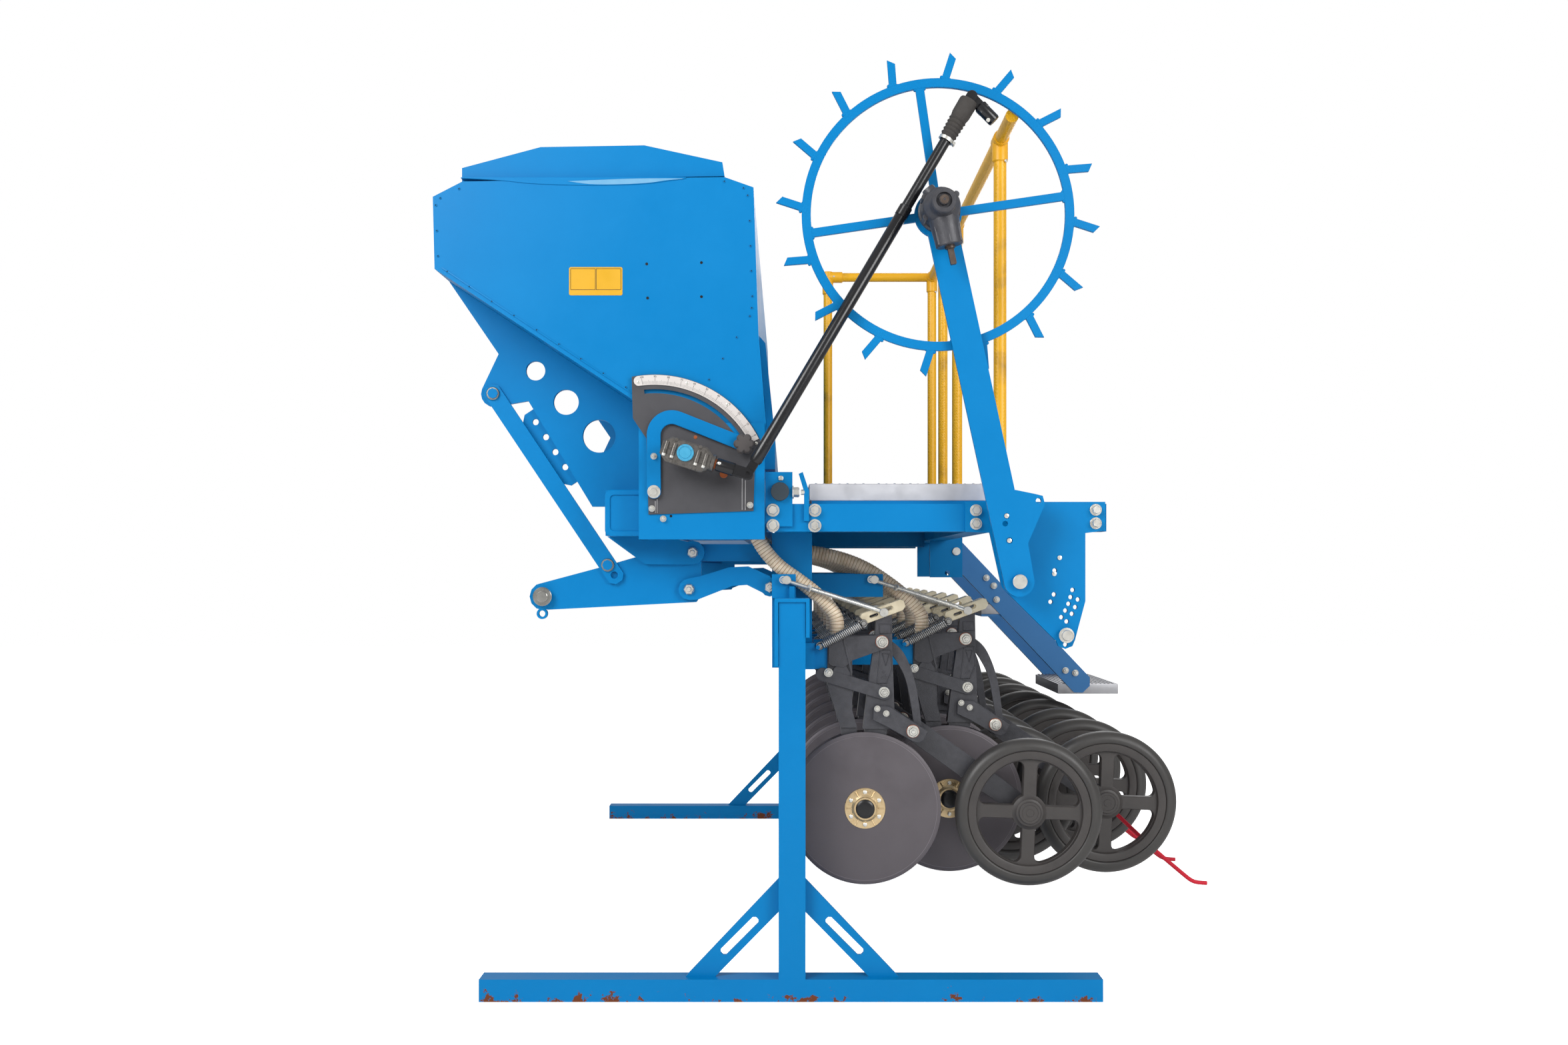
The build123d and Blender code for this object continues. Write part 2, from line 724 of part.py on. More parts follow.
# ---------------------------------------------------------------- seed meter
meter_x = (-268, -66)
meter_half = hopper_half - 44
side_box_x = (-341, -61)
side_box_y = (-hopper_half - 6, -meter_half)
panel_top = 1290
with BuildPart() as meter_housing:
    slab(
        [
            (meter_x[0], meter_top - seat_gap), (meter_x[0], 1090), (-235, meter_bottom),
            (meter_x[1] - 44, meter_bottom), (meter_x[1], meter_bottom + 44),
            (meter_x[1], 1190), (-38, 1190), (-38, 1260), (-60, 1475), (-74.5, 1492),
            (-53.6, meter_top - seat_gap),
        ],
        (-meter_half, meter_half),
    )
    block(side_box_x, side_box_y, (meter_bottom, meter_top - seat_gap))
    panel_y = (side_box_y[0], -hopper_half - seat_gap)
    block(side_box_x, panel_y, (meter_top - seat_gap, panel_top))
pieces["meter_housing"] = meter_housing

# ---------------------------------------------------------------- seed rate quadrant
quadrant_pivot = (-305.4, 1136.4)
scale_radius = 261
scale_width = 24
slot_radius = 224
slot_width = 9
plate_thickness = 3
quadrant_y = (side_box_y[0] - plate_thickness, side_box_y[0])


with BuildPart() as rate_quadrant:
    with BuildSketch(Plane.XZ.offset(-quadrant_y[1])):
        with BuildLine():
            high, top, low = [
                around(quadrant_pivot, scale_radius, angle) for angle in (101.3, 64, 26)
            ]
            ThreePointArc(high, top, low)
            Polyline(low, (-82, 1225), (-86, 1094), (-319, 1086), (-324, 1255), (-354, 1300), high)
        make_face()
    extrude(amount=plate_thickness)
    slot = (slot_radius - slot_width / 2, slot_radius + slot_width / 2)
    arc_band(quadrant_pivot, slot, (32, 96), quadrant_y, mode=Mode.SUBTRACT)
    scale = (scale_radius - scale_width, scale_radius)
    arc_band(quadrant_pivot, scale, (27, 100), (quadrant_y[0] - 1, quadrant_y[0]))
pieces["rate_quadrant"] = rate_quadrant

lever_y = (quadrant_y[0] - 8, quadrant_y[0] - 3)
lever_width = 31
knob = (-106, 1241)
with BuildPart() as rate_lever:
    lever_points = [quadrant_pivot, (-304, 1264), (-268, 1306), knob]
    for start, end in zip(lever_points, lever_points[1:]):
        strip(start, end, lever_width, lever_y, square=True)
    cross_pin(*quadrant_pivot, (lever_y[0] - 6, quadrant_y[0]), 10, small_sides)
    cross_pin(*knob, (lever_y[0] - 22, lever_y[0]), 21, small_sides)
    cross_pin(*knob, (lever_y[1], quadrant_y[0] - 1), 6, pin_sides)
pieces["rate_lever"] = rate_lever

# ---------------------------------------------------------------- meter gearbox
gearbox_centre = (-230, 1214)
gearbox_length = 114
gearbox_height = 56
gearbox_y = (shaft_y - 22, shaft_y + 22)
joint_pin_radius = 5
fork_gap = 11
fork_ear = 6
lean = Vector(joint_x - gearbox_centre[0], 0, joint_z - gearbox_centre[1])
reach = lean.length
lean = lean.normalized()


def on_output(distance, across=0):
    """A point (x, z) on the gearbox's output line, and across it."""
    return (
        gearbox_centre[0] + lean.X * distance - lean.Z * across,
        gearbox_centre[1] + lean.Z * distance + lean.X * across,
    )


with BuildPart() as meter_gearbox:
    half_l = gearbox_length / 2
    half_h = gearbox_height / 2
    slab(
        [
            on_output(-half_l, -half_h + 12), on_output(-half_l, half_h - 12),
            on_output(-half_l + 12, half_h), on_output(half_l - 12, half_h),
            on_output(half_l, half_h - 12), on_output(half_l, -half_h + 12),
            on_output(half_l - 12, -half_h), on_output(-half_l + 12, -half_h),
        ],
        gearbox_y,
    )
    cross_pin(*gearbox_centre, (gearbox_y[0] - 5, gearbox_y[0]), 19, small_sides)
    cross_pin(*gearbox_centre, (gearbox_y[1], quadrant_y[0]), 12, small_sides)
    stub_start = on_output(half_l)
    stub_end = on_output(reach - 22)
    stub = [(x, shaft_y, z) for x, z in (stub_start, stub_end)]
    rod(*stub, 11, small_sides)
    base = (shaft_y - fork_gap - fork_ear, shaft_y + fork_gap + fork_ear)
    slab(
        [
            on_output(reach - 28, -12), on_output(reach - 18, -12),
            on_output(reach - 18, 12), on_output(reach - 28, 12),
        ],
        base,
    )
    for y in ((base[0], base[0] + fork_ear), (base[1] - fork_ear, base[1])):
        strip(
            on_output(reach - 12), (joint_x, joint_z), 24, y,
            holes=[(joint_x, joint_z, joint_pin_radius + running_fit)],
            sides=small_sides, square=True,
        )
pieces["meter_gearbox"] = meter_gearbox

# ---------------------------------------------------------------- drive shaft
# Telescopic shaft with a joint at each end, a rubber boot and a loose upper fork.
outer_tube_radius = 13.5
inner_tube_radius = 12
shaft_low = Vector(joint_x, shaft_y, joint_z)
shaft_high = Vector(shaft_top_x, shaft_y, shaft_top_z)
shaft_run = (shaft_high - shaft_low).normalized()
boot_start = shaft_low + shaft_run * 866
boot_end = shaft_low + shaft_run * 930
tube_joint = shaft_low + shaft_run * 678
upper_fork_end = (442, 1943)
with BuildPart() as drive_shaft:
    for start, end, radius in (
        (shaft_low, shaft_low + shaft_run * 42, 9),
        (shaft_low + shaft_run * 24, tube_joint, outer_tube_radius),
        (tube_joint, boot_start, inner_tube_radius),
        (boot_start, boot_end, 17),
        (boot_end, shaft_high, 11),
        (shaft_high, Vector(upper_fork_end[0], shaft_y, upper_fork_end[1]), 14),
    ):
        rod(start, end, radius, 10)
    cross_pin(shaft_top_x, shaft_top_z, (shaft_y - 16, shaft_y + 16), 14, small_sides)
    cross_pin(joint_x, joint_z, (shaft_y - fork_gap + 1, shaft_y + fork_gap - 1), 10, small_sides)
    cross_pin(joint_x, joint_z, base, joint_pin_radius)
pieces["drive_shaft"] = drive_shaft

# ---------------------------------------------------------------- ground wheel and its arm
ring_radius = 300
ring_width = 20
wheel_thickness = 10
spoke_width = 19
spoke_turn = -8.3
spikes = 16
spike_width = 17
spike_tip = 354
spike_phase = 3
spike_lean = 15
wheel_axle_radius = 12
with BuildPart() as ground_wheel:
    wheel_y = (ground_wheel_y - wheel_thickness / 2, ground_wheel_y + wheel_thickness / 2)
    cross_pin(hub_x, hub_z, wheel_y, ring_radius, 40)
    cross_pin(hub_x, hub_z, wheel_y, ring_radius - ring_width, 40, mode=Mode.SUBTRACT)
    for turn in range(4):
        angle = radians(90 - spoke_turn - 90 * turn)
        reach_in = ring_radius - ring_width / 2
        end = (hub_x + reach_in * cos(angle), hub_z + reach_in * sin(angle))
        strip((hub_x, hub_z), end, spoke_width, wheel_y, square=True)
    for number in range(spikes):
        base_angle = radians(90 - spike_phase - 360 / spikes * number)
        lean_angle = base_angle - radians(spike_lean)
        foot = Vector(hub_x + (ring_radius - 4) * cos(base_angle), 0, hub_z + (ring_radius - 4) * sin(base_angle))
        out = Vector(cos(lean_angle), 0, sin(lean_angle))
        aside = Vector(-sin(lean_angle), 0, cos(lean_angle)) * (spike_width / 2)
        corners = [foot - aside, foot + aside, foot + aside + out * 60, foot - aside + out * 51]
        slab([(p.X, p.Z) for p in corners], wheel_y)
    cross_pin(hub_x, hub_z, wheel_y, 52, 16)
    cross_pin(hub_x, hub_z, wheel_y, wheel_axle_radius + running_fit, 12, mode=Mode.SUBTRACT)
pieces["ground_wheel"] = ground_wheel

wheel_arm_y = (arm_y - arm_thickness / 2, arm_y + arm_thickness / 2)
pivot_radius = 16
with BuildPart() as wheel_arm:
    strip((hub_x, hub_z), (pivot_x, pivot_z), 66, wheel_arm_y)
    slab(
        [
            (pivot_x, pivot_z), (529, 945), (516, 1021), (553, 1107),
            (548, 1125), (532, 1129), (488, 1138), (440, 1100),
        ],
        wheel_arm_y,
    )
    cross_pin(hub_x, hub_z, (wheel_arm_y[1], wheel_y[0] - seat_gap), 22, 12)
    cross_pin(hub_x, hub_z, (wheel_arm_y[1], wheel_y[1] + 9), wheel_axle_radius)
    cross_pin(hub_x, hub_z, (wheel_y[1] + seat_gap, wheel_y[1] + 9), 20, 6)
    for x, z, radius in ((539, 1114, 6), (469, 1081, 6), (466, 1064, 6), (475, 1027, 7)):
        cross_pin(x, z, wheel_arm_y, radius, small_sides, mode=Mode.SUBTRACT)
    bore = pivot_radius + running_fit
    cross_pin(pivot_x, pivot_z, wheel_arm_y, bore, 16, mode=Mode.SUBTRACT)
pieces["wheel_arm"] = wheel_arm

arm_down = Vector(pivot_x - hub_x, 0, pivot_z - hub_z).normalized()
gear_y = -1362
with BuildPart() as wheel_gearbox:
    cross_pin(hub_x, hub_z, (wheel_arm_y[0] - 12, wheel_arm_y[0]), 46, 16)
    cross_pin(hub_x, hub_z, (wheel_arm_y[0] - 84, wheel_arm_y[0] - 12), 36, 16)
    cross_pin(hub_x, hub_z, (-1433, wheel_arm_y[0] - 84), 22, 12)
    centre = Vector(hub_x, gear_y, hub_z)
    rod(centre, centre + arm_down * 86, 31, 12)
    rod(centre, centre + arm_down * 126, 11)
    rod(centre, centre + Vector(-0.6, 0, 0.8) * 50, 12, small_sides)
pieces["wheel_gearbox"] = wheel_gearbox

plate_y = (-frame_half - beam / 2 - 12, -frame_half - beam / 2)
small = 5.5
with BuildPart() as arm_plate:
    slab(
        [
            (387, 1115), (700, 1115), (700, 1051), (655.5, 1045), (655.5, 893),
            (632, 805), (589, 805), (469, 924), (442, 1046), (387, 1048),
        ],
        plate_y,
        rounds=[(611, 808, 22)],
        holes=[
            (587, 961.5, small), (585.5, 908, small), (578, 891.5, small), (627, 918, small),
            (622.7, 902, small), (639, 896.7, small), (618, 887, small), (633, 879.6, small),
            (611, 872, small), (625.7, 864.7, small), (602, 857, small), (613.8, 847.5, small),
            (611, 796, small),
        ],
        sides=small_sides,
    )
    cross_pin(pivot_x, pivot_z, (wheel_arm_y[1] + seat_gap, plate_y[0]), 28, 16)
    cross_pin(pivot_x, pivot_z, (wheel_arm_y[0] - 10, plate_y[0]), pivot_radius)
    cross_pin(611, 817, (plate_y[0] - 12, plate_y[0]), 12, small_sides)
pieces["arm_plate"] = arm_plate

# ---------------------------------------------------------------- deck, rails and ladder
planks = 3
plank_gap = 3
plank_wall = 3
with BuildPart() as deck:
    plank_width = (deck_x[1] - deck_x[0] - (planks - 1) * plank_gap) / planks
    for number in range(planks):
        x = deck_x[0] + number * (plank_width + plank_gap)
        block((x, x + plank_width), (-deck_half, deck_half), (deck_bottom, deck_top))
        block(
            (x + plank_wall, x + plank_width - plank_wall),
            (-deck_half + plank_wall, deck_half - plank_wall),
            (deck_bottom, deck_top - plank_wall),
            mode=Mode.SUBTRACT,
        )
pieces["deck"] = deck

rail_z = 1970
guard_front = 130
rail_sides = 12
with BuildPart() as handrails:
    for y in rail_posts:
        rod((rail_x, y, beam_top), (rail_x, y, rail_z), rail_radius, rail_sides)
    cross_pin(rail_x, rail_z, (-1270, rail_posts[1] + 22), rail_radius, rail_sides)
    cross_pin(rail_x, rail_z, (rail_posts[2] - 22, rail_posts[3] + 20), rail_radius, rail_sides)
    end_y = rail_posts[3]
    rod((guard_front, end_y, rail_z), (rail_x, end_y, rail_z), rail_radius, rail_sides)
    rod((guard_front, end_y, deck_top), (guard_front, end_y, rail_z + 18), rail_radius, rail_sides)
pieces["handrails"] = handrails

ladder_run = 525
stringer_width = 64
stringer_y = (-ladder_half, -ladder_half + 5)
flange_depth = 20
with BuildPart() as ladder:
    down = radians(-ladder_angle)
    low_end = (
        ladder_pivot_x + ladder_run * cos(down),
        ladder_pivot_z + ladder_run * sin(down),
    )
    strip(
        (ladder_pivot_x, ladder_pivot_z), low_end, stringer_width, stringer_y,
        holes=[(ladder_pivot_x, ladder_pivot_z, ladder_pin_radius + running_fit)],
        sides=small_sides, square=True,
    )
    for side in (-1, 1):
        shift = (stringer_width / 2 - 2) * side
        a = (ladder_pivot_x - shift * sin(down), ladder_pivot_z + shift * cos(down))
        b = (low_end[0] - shift * sin(down), low_end[1] + shift * cos(down))
        strip(a, b, 4, (stringer_y[1], stringer_y[1] + flange_depth), square=True)
    mirror(about=Plane.XZ)
    tread_y = (-ladder_half + 5, ladder_half - 5)
    for x, z in (((560, 645), (826, 862)), ((785, 960), (600, 628))):
        block(x, tread_y, z)
pieces["ladder"] = ladder

# ---------------------------------------------------------------- labels and files
drill_frame = Location((-box_centre_x, -box_centre_y, 0))
for name, piece in pieces.items():
    placed = piece.part.moved(drill_frame)
    placed.label = name
    export_step(placed, f"parts/{name}.step")
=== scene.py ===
import json
import math

import bmesh
import bpy
from mathutils import Matrix, Vector


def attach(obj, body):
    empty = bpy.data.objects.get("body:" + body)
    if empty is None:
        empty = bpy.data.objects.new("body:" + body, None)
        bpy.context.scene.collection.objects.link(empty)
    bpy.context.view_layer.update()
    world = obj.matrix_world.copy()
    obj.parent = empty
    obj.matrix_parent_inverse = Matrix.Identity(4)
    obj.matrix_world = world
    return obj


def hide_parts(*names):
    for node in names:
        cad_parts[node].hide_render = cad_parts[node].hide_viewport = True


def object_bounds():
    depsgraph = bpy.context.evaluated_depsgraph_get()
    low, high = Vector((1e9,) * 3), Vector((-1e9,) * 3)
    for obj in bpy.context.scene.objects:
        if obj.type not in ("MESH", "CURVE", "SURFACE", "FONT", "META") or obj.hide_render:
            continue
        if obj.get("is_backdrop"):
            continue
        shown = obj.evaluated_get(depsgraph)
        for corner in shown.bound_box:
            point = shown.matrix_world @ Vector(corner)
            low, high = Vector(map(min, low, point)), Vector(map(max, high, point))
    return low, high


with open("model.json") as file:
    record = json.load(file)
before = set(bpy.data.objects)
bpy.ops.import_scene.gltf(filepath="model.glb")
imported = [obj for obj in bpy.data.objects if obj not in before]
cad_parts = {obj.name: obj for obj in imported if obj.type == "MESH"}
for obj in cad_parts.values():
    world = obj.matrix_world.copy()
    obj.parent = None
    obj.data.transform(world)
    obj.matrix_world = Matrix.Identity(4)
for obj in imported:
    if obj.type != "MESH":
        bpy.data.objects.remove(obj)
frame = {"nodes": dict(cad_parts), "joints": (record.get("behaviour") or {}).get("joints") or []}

cad_low, cad_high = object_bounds()

# ------------------------------------------------------------------ studio
# A white sheet on the floor, a white room round it, two large soft lamps by the camera and a weak
# one behind. The camera stands square to the drill's near side, a little under the deck.
joints = {joint["name"]: joint for joint in frame["joints"]}
ladder_pin = (484, 0, 1017)      # mm in the drill's drawing
drawing_zero = Vector(joints["ladder_fold"]["pos_m"]) - Vector([c / 1000 for c in ladder_pin])


def at(x, y, z):
    """A place in the drill's drawing: millimetres from the stand posts, the mid-plane and the floor."""
    return drawing_zero + Vector((x, y, z)) / 1000


def linear(colour):
    """Turns an sRGB hex colour into the linear numbers that shaders take."""
    channels = [int(colour[i:i + 2], 16) / 255 for i in (1, 3, 5)]
    return [c / 12.92 if c <= 0.04045 else ((c + 0.055) / 1.055) ** 2.4 for c in channels] + [1.0]


def add_node(material, kind, settings=None, **links):
    """Adds a shader node, sets its inputs or links them. _ in an input's name is a space, and _3 is
    input number 3."""
    node = material.node_tree.nodes.new(kind)
    for name, value in (settings or {}).items():
        setattr(node, name, value)
    for name, value in links.items():
        socket = node.inputs[int(name[1:])] if name[1:].isdigit() else node.inputs[name.replace("_", " ")]
        if isinstance(value, bpy.types.NodeSocket):
            material.node_tree.links.new(value, socket)
        else:
            socket.default_value = value
    return node


scene = bpy.context.scene
scene.view_settings.view_transform = "Standard"
frame_width = 2352
focal_length = 2236      # in the same unit as the frame's width, and so are the two shifts
lens_drop = 71
lens_side = -4
camera_x = -12
camera_distance = 4573
camera_height = 963
camera_data = bpy.data.cameras.new("camera")
camera_data.sensor_width = 36
camera_data.lens = 36 * focal_length / frame_width
camera_data.shift_x = lens_side / frame_width
camera_data.shift_y = lens_drop / frame_width
camera_data.dof.use_dof = False
camera = bpy.data.objects.new("camera", camera_data)
camera.location = at(camera_x, -camera_distance, camera_height)
camera.rotation_euler = (math.radians(90), 0, 0)
scene.collection.objects.link(camera)
scene.camera = camera

room = bpy.data.worlds.new("white room")
scene.world = room
room.use_nodes = True
room.node_tree.nodes.clear()
paths = add_node(room, "ShaderNodeLightPath")
seen = add_node(
    room, "ShaderNodeMath", {"operation": "MAXIMUM"},
    _0=paths.outputs["Is Camera Ray"], _1=paths.outputs["Is Transmission Ray"],
)
room_light = 0.52      # on the drill; the camera sees the room at full white
strength = add_node(
    room, "ShaderNodeMapRange", _0=seen.outputs[0], To_Min=room_light, To_Max=1.0,
)
backdrop = add_node(
    room, "ShaderNodeBackground", Color=linear("#FFFFFF"), Strength=strength.outputs[0]
)
add_node(room, "ShaderNodeOutputWorld", Surface=backdrop.outputs[0])

for name, place, size, power in (
    ("key lamp", at(-2600, -4200, 3300), 2.6, 150),
    ("fill lamp", at(2900, -4300, 2400), 2.2, 90),
    ("back lamp", at(1500, 3900, 3400), 2.4, 40),
):
    lamp_data = bpy.data.lights.new(name, "AREA")
    lamp_data.shape = "DISK"
    lamp_data.size = size
    lamp_data.energy = power
    lamp = bpy.data.objects.new(name, lamp_data)
    lamp.location = place
    lamp.rotation_euler = (at(0, 0, 900) - place).to_track_quat("-Z", "Y").to_euler()
    scene.collection.objects.link(lamp)

floor_half = 14      # m
floor_gap = 0.0005   # m under the feet
floor_mesh = bpy.data.meshes.new("floor")
floor_mesh.from_pydata(
    [(x, y, 0) for x, y in ((-1, -1), (1, -1), (1, 1), (-1, 1))], [], [(0, 1, 2, 3)]
)
floor_mesh.transform(Matrix.Diagonal((floor_half, floor_half, 1, 1)))
floor = bpy.data.objects.new("floor", floor_mesh)
scene.collection.objects.link(floor)
floor.location.z = -floor_gap

# Matt white paper: it glows a little to the camera alone, so that it melts into the room.
paper_glow = 0.8
sheet_paper = bpy.data.materials.new("white paper sheet")
sheet_paper.use_nodes = True
sheet_paper.node_tree.nodes.clear()
glow = add_node(
    sheet_paper, "ShaderNodeMapRange",
    _0=add_node(sheet_paper, "ShaderNodeLightPath").outputs["Is Camera Ray"], To_Max=paper_glow,
)
paper = add_node(
    sheet_paper, "ShaderNodeBsdfPrincipled", Base_Color=linear("#F4F4F4"), Roughness=0.9,
    Emission_Color=linear("#FFFFFF"), Emission_Strength=glow.outputs[0],
)
add_node(sheet_paper, "ShaderNodeOutputMaterial", Surface=paper.outputs[0])
floor_mesh.materials.append(sheet_paper)
floor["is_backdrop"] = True

# ------------------------------------------------------------------ parking stands
# Square steel tube and laser-cut flats, welded and powder coated blue. The coat is chipped along
# the feet, where bare steel has rusted.
coat_blue = "#007AB8"
coat_blue_deep = "#006FAC"
rust_brown = "#6B3A22"
orange_peel = 2.2      # mm between the coat's ripples
cloud = 260            # mm across a patch of handling marks
chip_size = 38         # mm across a cluster of chips
chip_height = 0.05     # m above the floor where the chips end


def start_material(name):
    """An empty node material."""
    material = bpy.data.materials.new(name)
    material.use_nodes = True
    material.node_tree.nodes.clear()
    return material


def finish_material(material, shader):
    """Joins the last shader to the output."""
    add_node(material, "ShaderNodeOutputMaterial", Surface=shader.outputs[0])
    return material


def powder_coat(name, main, deep, rust_share=0.0):
    """Baked powder coat on steel: even semi-gloss colour with a fine orange peel, rubbed duller in
    patches by hands and dust; with a rust share, flecks of brown where it has chipped."""
    material = start_material(name)
    place = add_node(material, "ShaderNodeTexCoord").outputs["Object"]
    patches = add_node(
        material, "ShaderNodeTexNoise", Vector=place, Scale=1000 / cloud, Detail=6.0, Roughness=0.65
    )
    tone = add_node(
        material, "ShaderNodeMix", {"data_type": "RGBA"},
        _0=patches.outputs["Fac"], _6=linear(deep), _7=linear(main),
    )
    colour = tone.outputs[2]
    gloss = add_node(
        material, "ShaderNodeMapRange", _0=patches.outputs["Fac"], _1=0.3, _2=0.7, _3=0.30, _4=0.44
    ).outputs[0]
    if rust_share:
        chips = add_node(
            material, "ShaderNodeTexNoise", Vector=place, Scale=1000 / chip_size, Detail=8.0, Roughness=0.7
        )
        height = add_node(material, "ShaderNodeSeparateXYZ", Vector=place).outputs["Z"]
        lowest = add_node(
            material, "ShaderNodeMapRange", _0=height, _1=chip_height, _2=0.003, _3=0.0, _4=rust_share
        )
        rubbed = add_node(
            material, "ShaderNodeMath", {"operation": "ADD"},
            _0=chips.outputs["Fac"], _1=lowest.outputs[0],
        )
        eaten = add_node(material, "ShaderNodeMapRange", _0=rubbed.outputs[0], _1=0.70, _2=0.72)
        colour = add_node(
            material, "ShaderNodeMix", {"data_type": "RGBA"},
            _0=eaten.outputs[0], _6=colour, _7=linear(rust_brown),
        ).outputs[2]
    peel = add_node(
        material, "ShaderNodeTexNoise", Vector=place, Scale=1000 / orange_peel, Detail=2.0
    )
    bump = add_node(
        material, "ShaderNodeBump", Height=peel.outputs["Fac"], Strength=0.05, Distance=0.0004
    )
    coat = add_node(
        material, "ShaderNodeBsdfPrincipled", Base_Color=colour, Roughness=gloss, IOR=1.42,
        Specular_IOR_Level=0.2, Normal=bump.outputs[0],
    )
    return finish_material(material, coat)


# Even blue with a soft gleam; on the stands the same blue, with brown flecks low on the feet.
blue_coat = powder_coat("blue powder coat", coat_blue, coat_blue_deep)
foot_coat = powder_coat("chipped blue powder coat", coat_blue, coat_blue_deep, 0.17)
nodes = frame["nodes"]


def dress(node, material, edge=1.2):
    """Gives a CAD node its finish, and the small round that a cut or folded edge really has."""
    piece = nodes[node]
    piece.data.materials.clear()
    piece.data.materials.append(material)
    if edge:
        rounding = piece.modifiers.new("edge", "BEVEL")
        rounding.width = edge / 1000
        rounding.segments = 1
        rounding.limit_method = "ANGLE"
        rounding.angle_limit = math.radians(38)


dress("parking_stands", foot_coat)

# ------------------------------------------------------------------ main frame and coulter frame
# Square tube beams, welded and powder coated blue, with plate lugs and gussets. Zinc plated hex
# bolts hold the hitch, the stands and the ground wheel's plate to the beams.
def finish(name, main, shade, roughness, patch=18, grain=0.0, grain_depth=0.0002, metallic=1.0):
    """A worn finish: two tones that meet in patches, duller where they are lighter, and a bump.
    Patch and grain are mm; a grain under about 1 mm is drawn at that size, to show."""
    material = start_material(name)
    place = add_node(material, "ShaderNodeTexCoord").outputs["Object"]
    patches = add_node(
        material, "ShaderNodeTexNoise", Vector=place, Scale=1000 / patch, Detail=5.0, Roughness=0.6
    )
    tone = add_node(
        material, "ShaderNodeMix", {"data_type": "RGBA"},
        _0=patches.outputs["Fac"], _6=linear(shade), _7=linear(main),
    )
    gloss = add_node(
        material, "ShaderNodeMapRange", _0=patches.outputs["Fac"], _1=0.3, _2=0.7,
        _3=roughness * 0.8, _4=roughness * 1.25,
    )
    shader = add_node(
        material, "ShaderNodeBsdfPrincipled", Base_Color=tone.outputs[2], Metallic=metallic,
        Roughness=gloss.outputs[0],
    )
    if grain:
        rough = add_node(
            material, "ShaderNodeTexNoise", Vector=place, Scale=1000 / grain, Detail=4.0
        )
        bump = add_node(
            material, "ShaderNodeBump", Height=rough.outputs["Fac"], Strength=0.7,
            Distance=grain_depth,
        )
        material.node_tree.links.new(bump.outputs[0], shader.inputs["Normal"])
    return finish_material(material, shader)


# Bright zinc plate on steel bolts: a cold, slightly cloudy silver.
zinc_plate = finish("zinc plate", "#F0EEE6", "#CFCDC6", 0.3, metallic=0.85)


def skin(shape, rings, caps=True, loop=False):
    """Joins rings of points into one skin, closed at its ends by caps or into a loop."""
    rows = [[shape.verts.new(point) for point in ring] for ring in rings]
    pairs = list(zip(rows, rows[1:])) + ([(rows[-1], rows[0])] if loop else [])
    for a, b in pairs:
        for i in range(len(a)):
            j = (i + 1) % len(a)
            shape.faces.new((a[i], a[j], b[j], b[i]))
    if caps and not loop:
        shape.faces.new(rows[0][::-1])
        shape.faces.new(rows[-1])


def turned(shape, centre, axis, profile, sides=32, loop=False, phase=0.0):
    """A turned form: profile gives (along, radius) in mm from the centre, along the axis."""
    axis = Vector(axis).normalized()
    across = axis.cross(Vector((0, 0, 1)) if abs(axis.z) < 0.9 else Vector((1, 0, 0))).normalized()
    other = axis.cross(across)
    rings = []
    for along, radius in profile:
        ring = []
        for number in range(sides):
            turn = phase + math.tau * number / sides
            spoke = across * math.cos(turn) + other * math.sin(turn)
            ring.append(centre + (axis * along + spoke * radius) / 1000)
        rings.append(ring)
    skin(shape, rings, loop=loop)


def tube(shape, points, radii, sides=12, caps=True):
    """A tube through points, with one radius in mm or one for each point."""
    if not isinstance(radii, (list, tuple)):
        radii = [radii] * len(points)
    ways = []
    for number in range(len(points)):
        before = points[max(number - 1, 0)]
        after = points[min(number + 1, len(points) - 1)]
        ways.append((after - before).normalized())
    across = ways[0].orthogonal().normalized()
    rings = []
    for point, way, radius in zip(points, ways, radii):
        across = (across - way * across.dot(way)).normalized()
        other = way.cross(across)
        rings.append(
            [
                point + (across * math.cos(math.tau * i / sides)
                         + other * math.sin(math.tau * i / sides)) * radius / 1000
                for i in range(sides)
            ]
        )
    skin(shape, rings, caps)


def arc(x, z, radius, start, end, steps):
    """Points (x, z) on an arc from one angle to another, in degrees above +X."""
    turns = [math.radians(start + (end - start) * step / steps) for step in range(steps + 1)]
    return [(x + radius * math.cos(turn), z + radius * math.sin(turn)) for turn in turns]


def circle(x, z, radius, sides=24):
    """Points (x, z) of a circle."""
    return arc(x, z, radius, 0, 360 - 360 / sides, sides - 1)


def plate(shape, loops, y, edge=0.8):
    """A flat plate from y[0] to y[1] with rounded edges. The first loop of (x, z) is its outline
    and the others are its holes, in mm."""
    flat = bpy.data.curves.new("flat", "CURVE")
    flat.dimensions = "2D"
    flat.fill_mode = "BOTH"
    flat.extrude = (y[1] - y[0]) / 2000 - edge / 1000
    flat.bevel_depth = edge / 1000
    flat.bevel_resolution = 0
    flat.offset = -edge / 1000
    for loop in loops:
        spline = flat.splines.new("POLY")
        spline.points.add(len(loop) - 1)
        spline.use_cyclic_u = True
        for point, (x, z) in zip(spline.points, loop):
            point.co = (x / 1000, z / 1000, 0, 1)
    carrier = bpy.data.objects.new("flat", flat)
    cut = bpy.data.meshes.new_from_object(carrier)
    upright = Matrix.Rotation(math.radians(90), 4, "X")
    cut.transform(Matrix.Translation(at(0, (y[0] + y[1]) / 2, 0)) @ upright)
    shape.from_mesh(cut)
    bpy.data.objects.remove(carrier)
    bpy.data.curves.remove(flat)
    bpy.data.meshes.remove(cut)


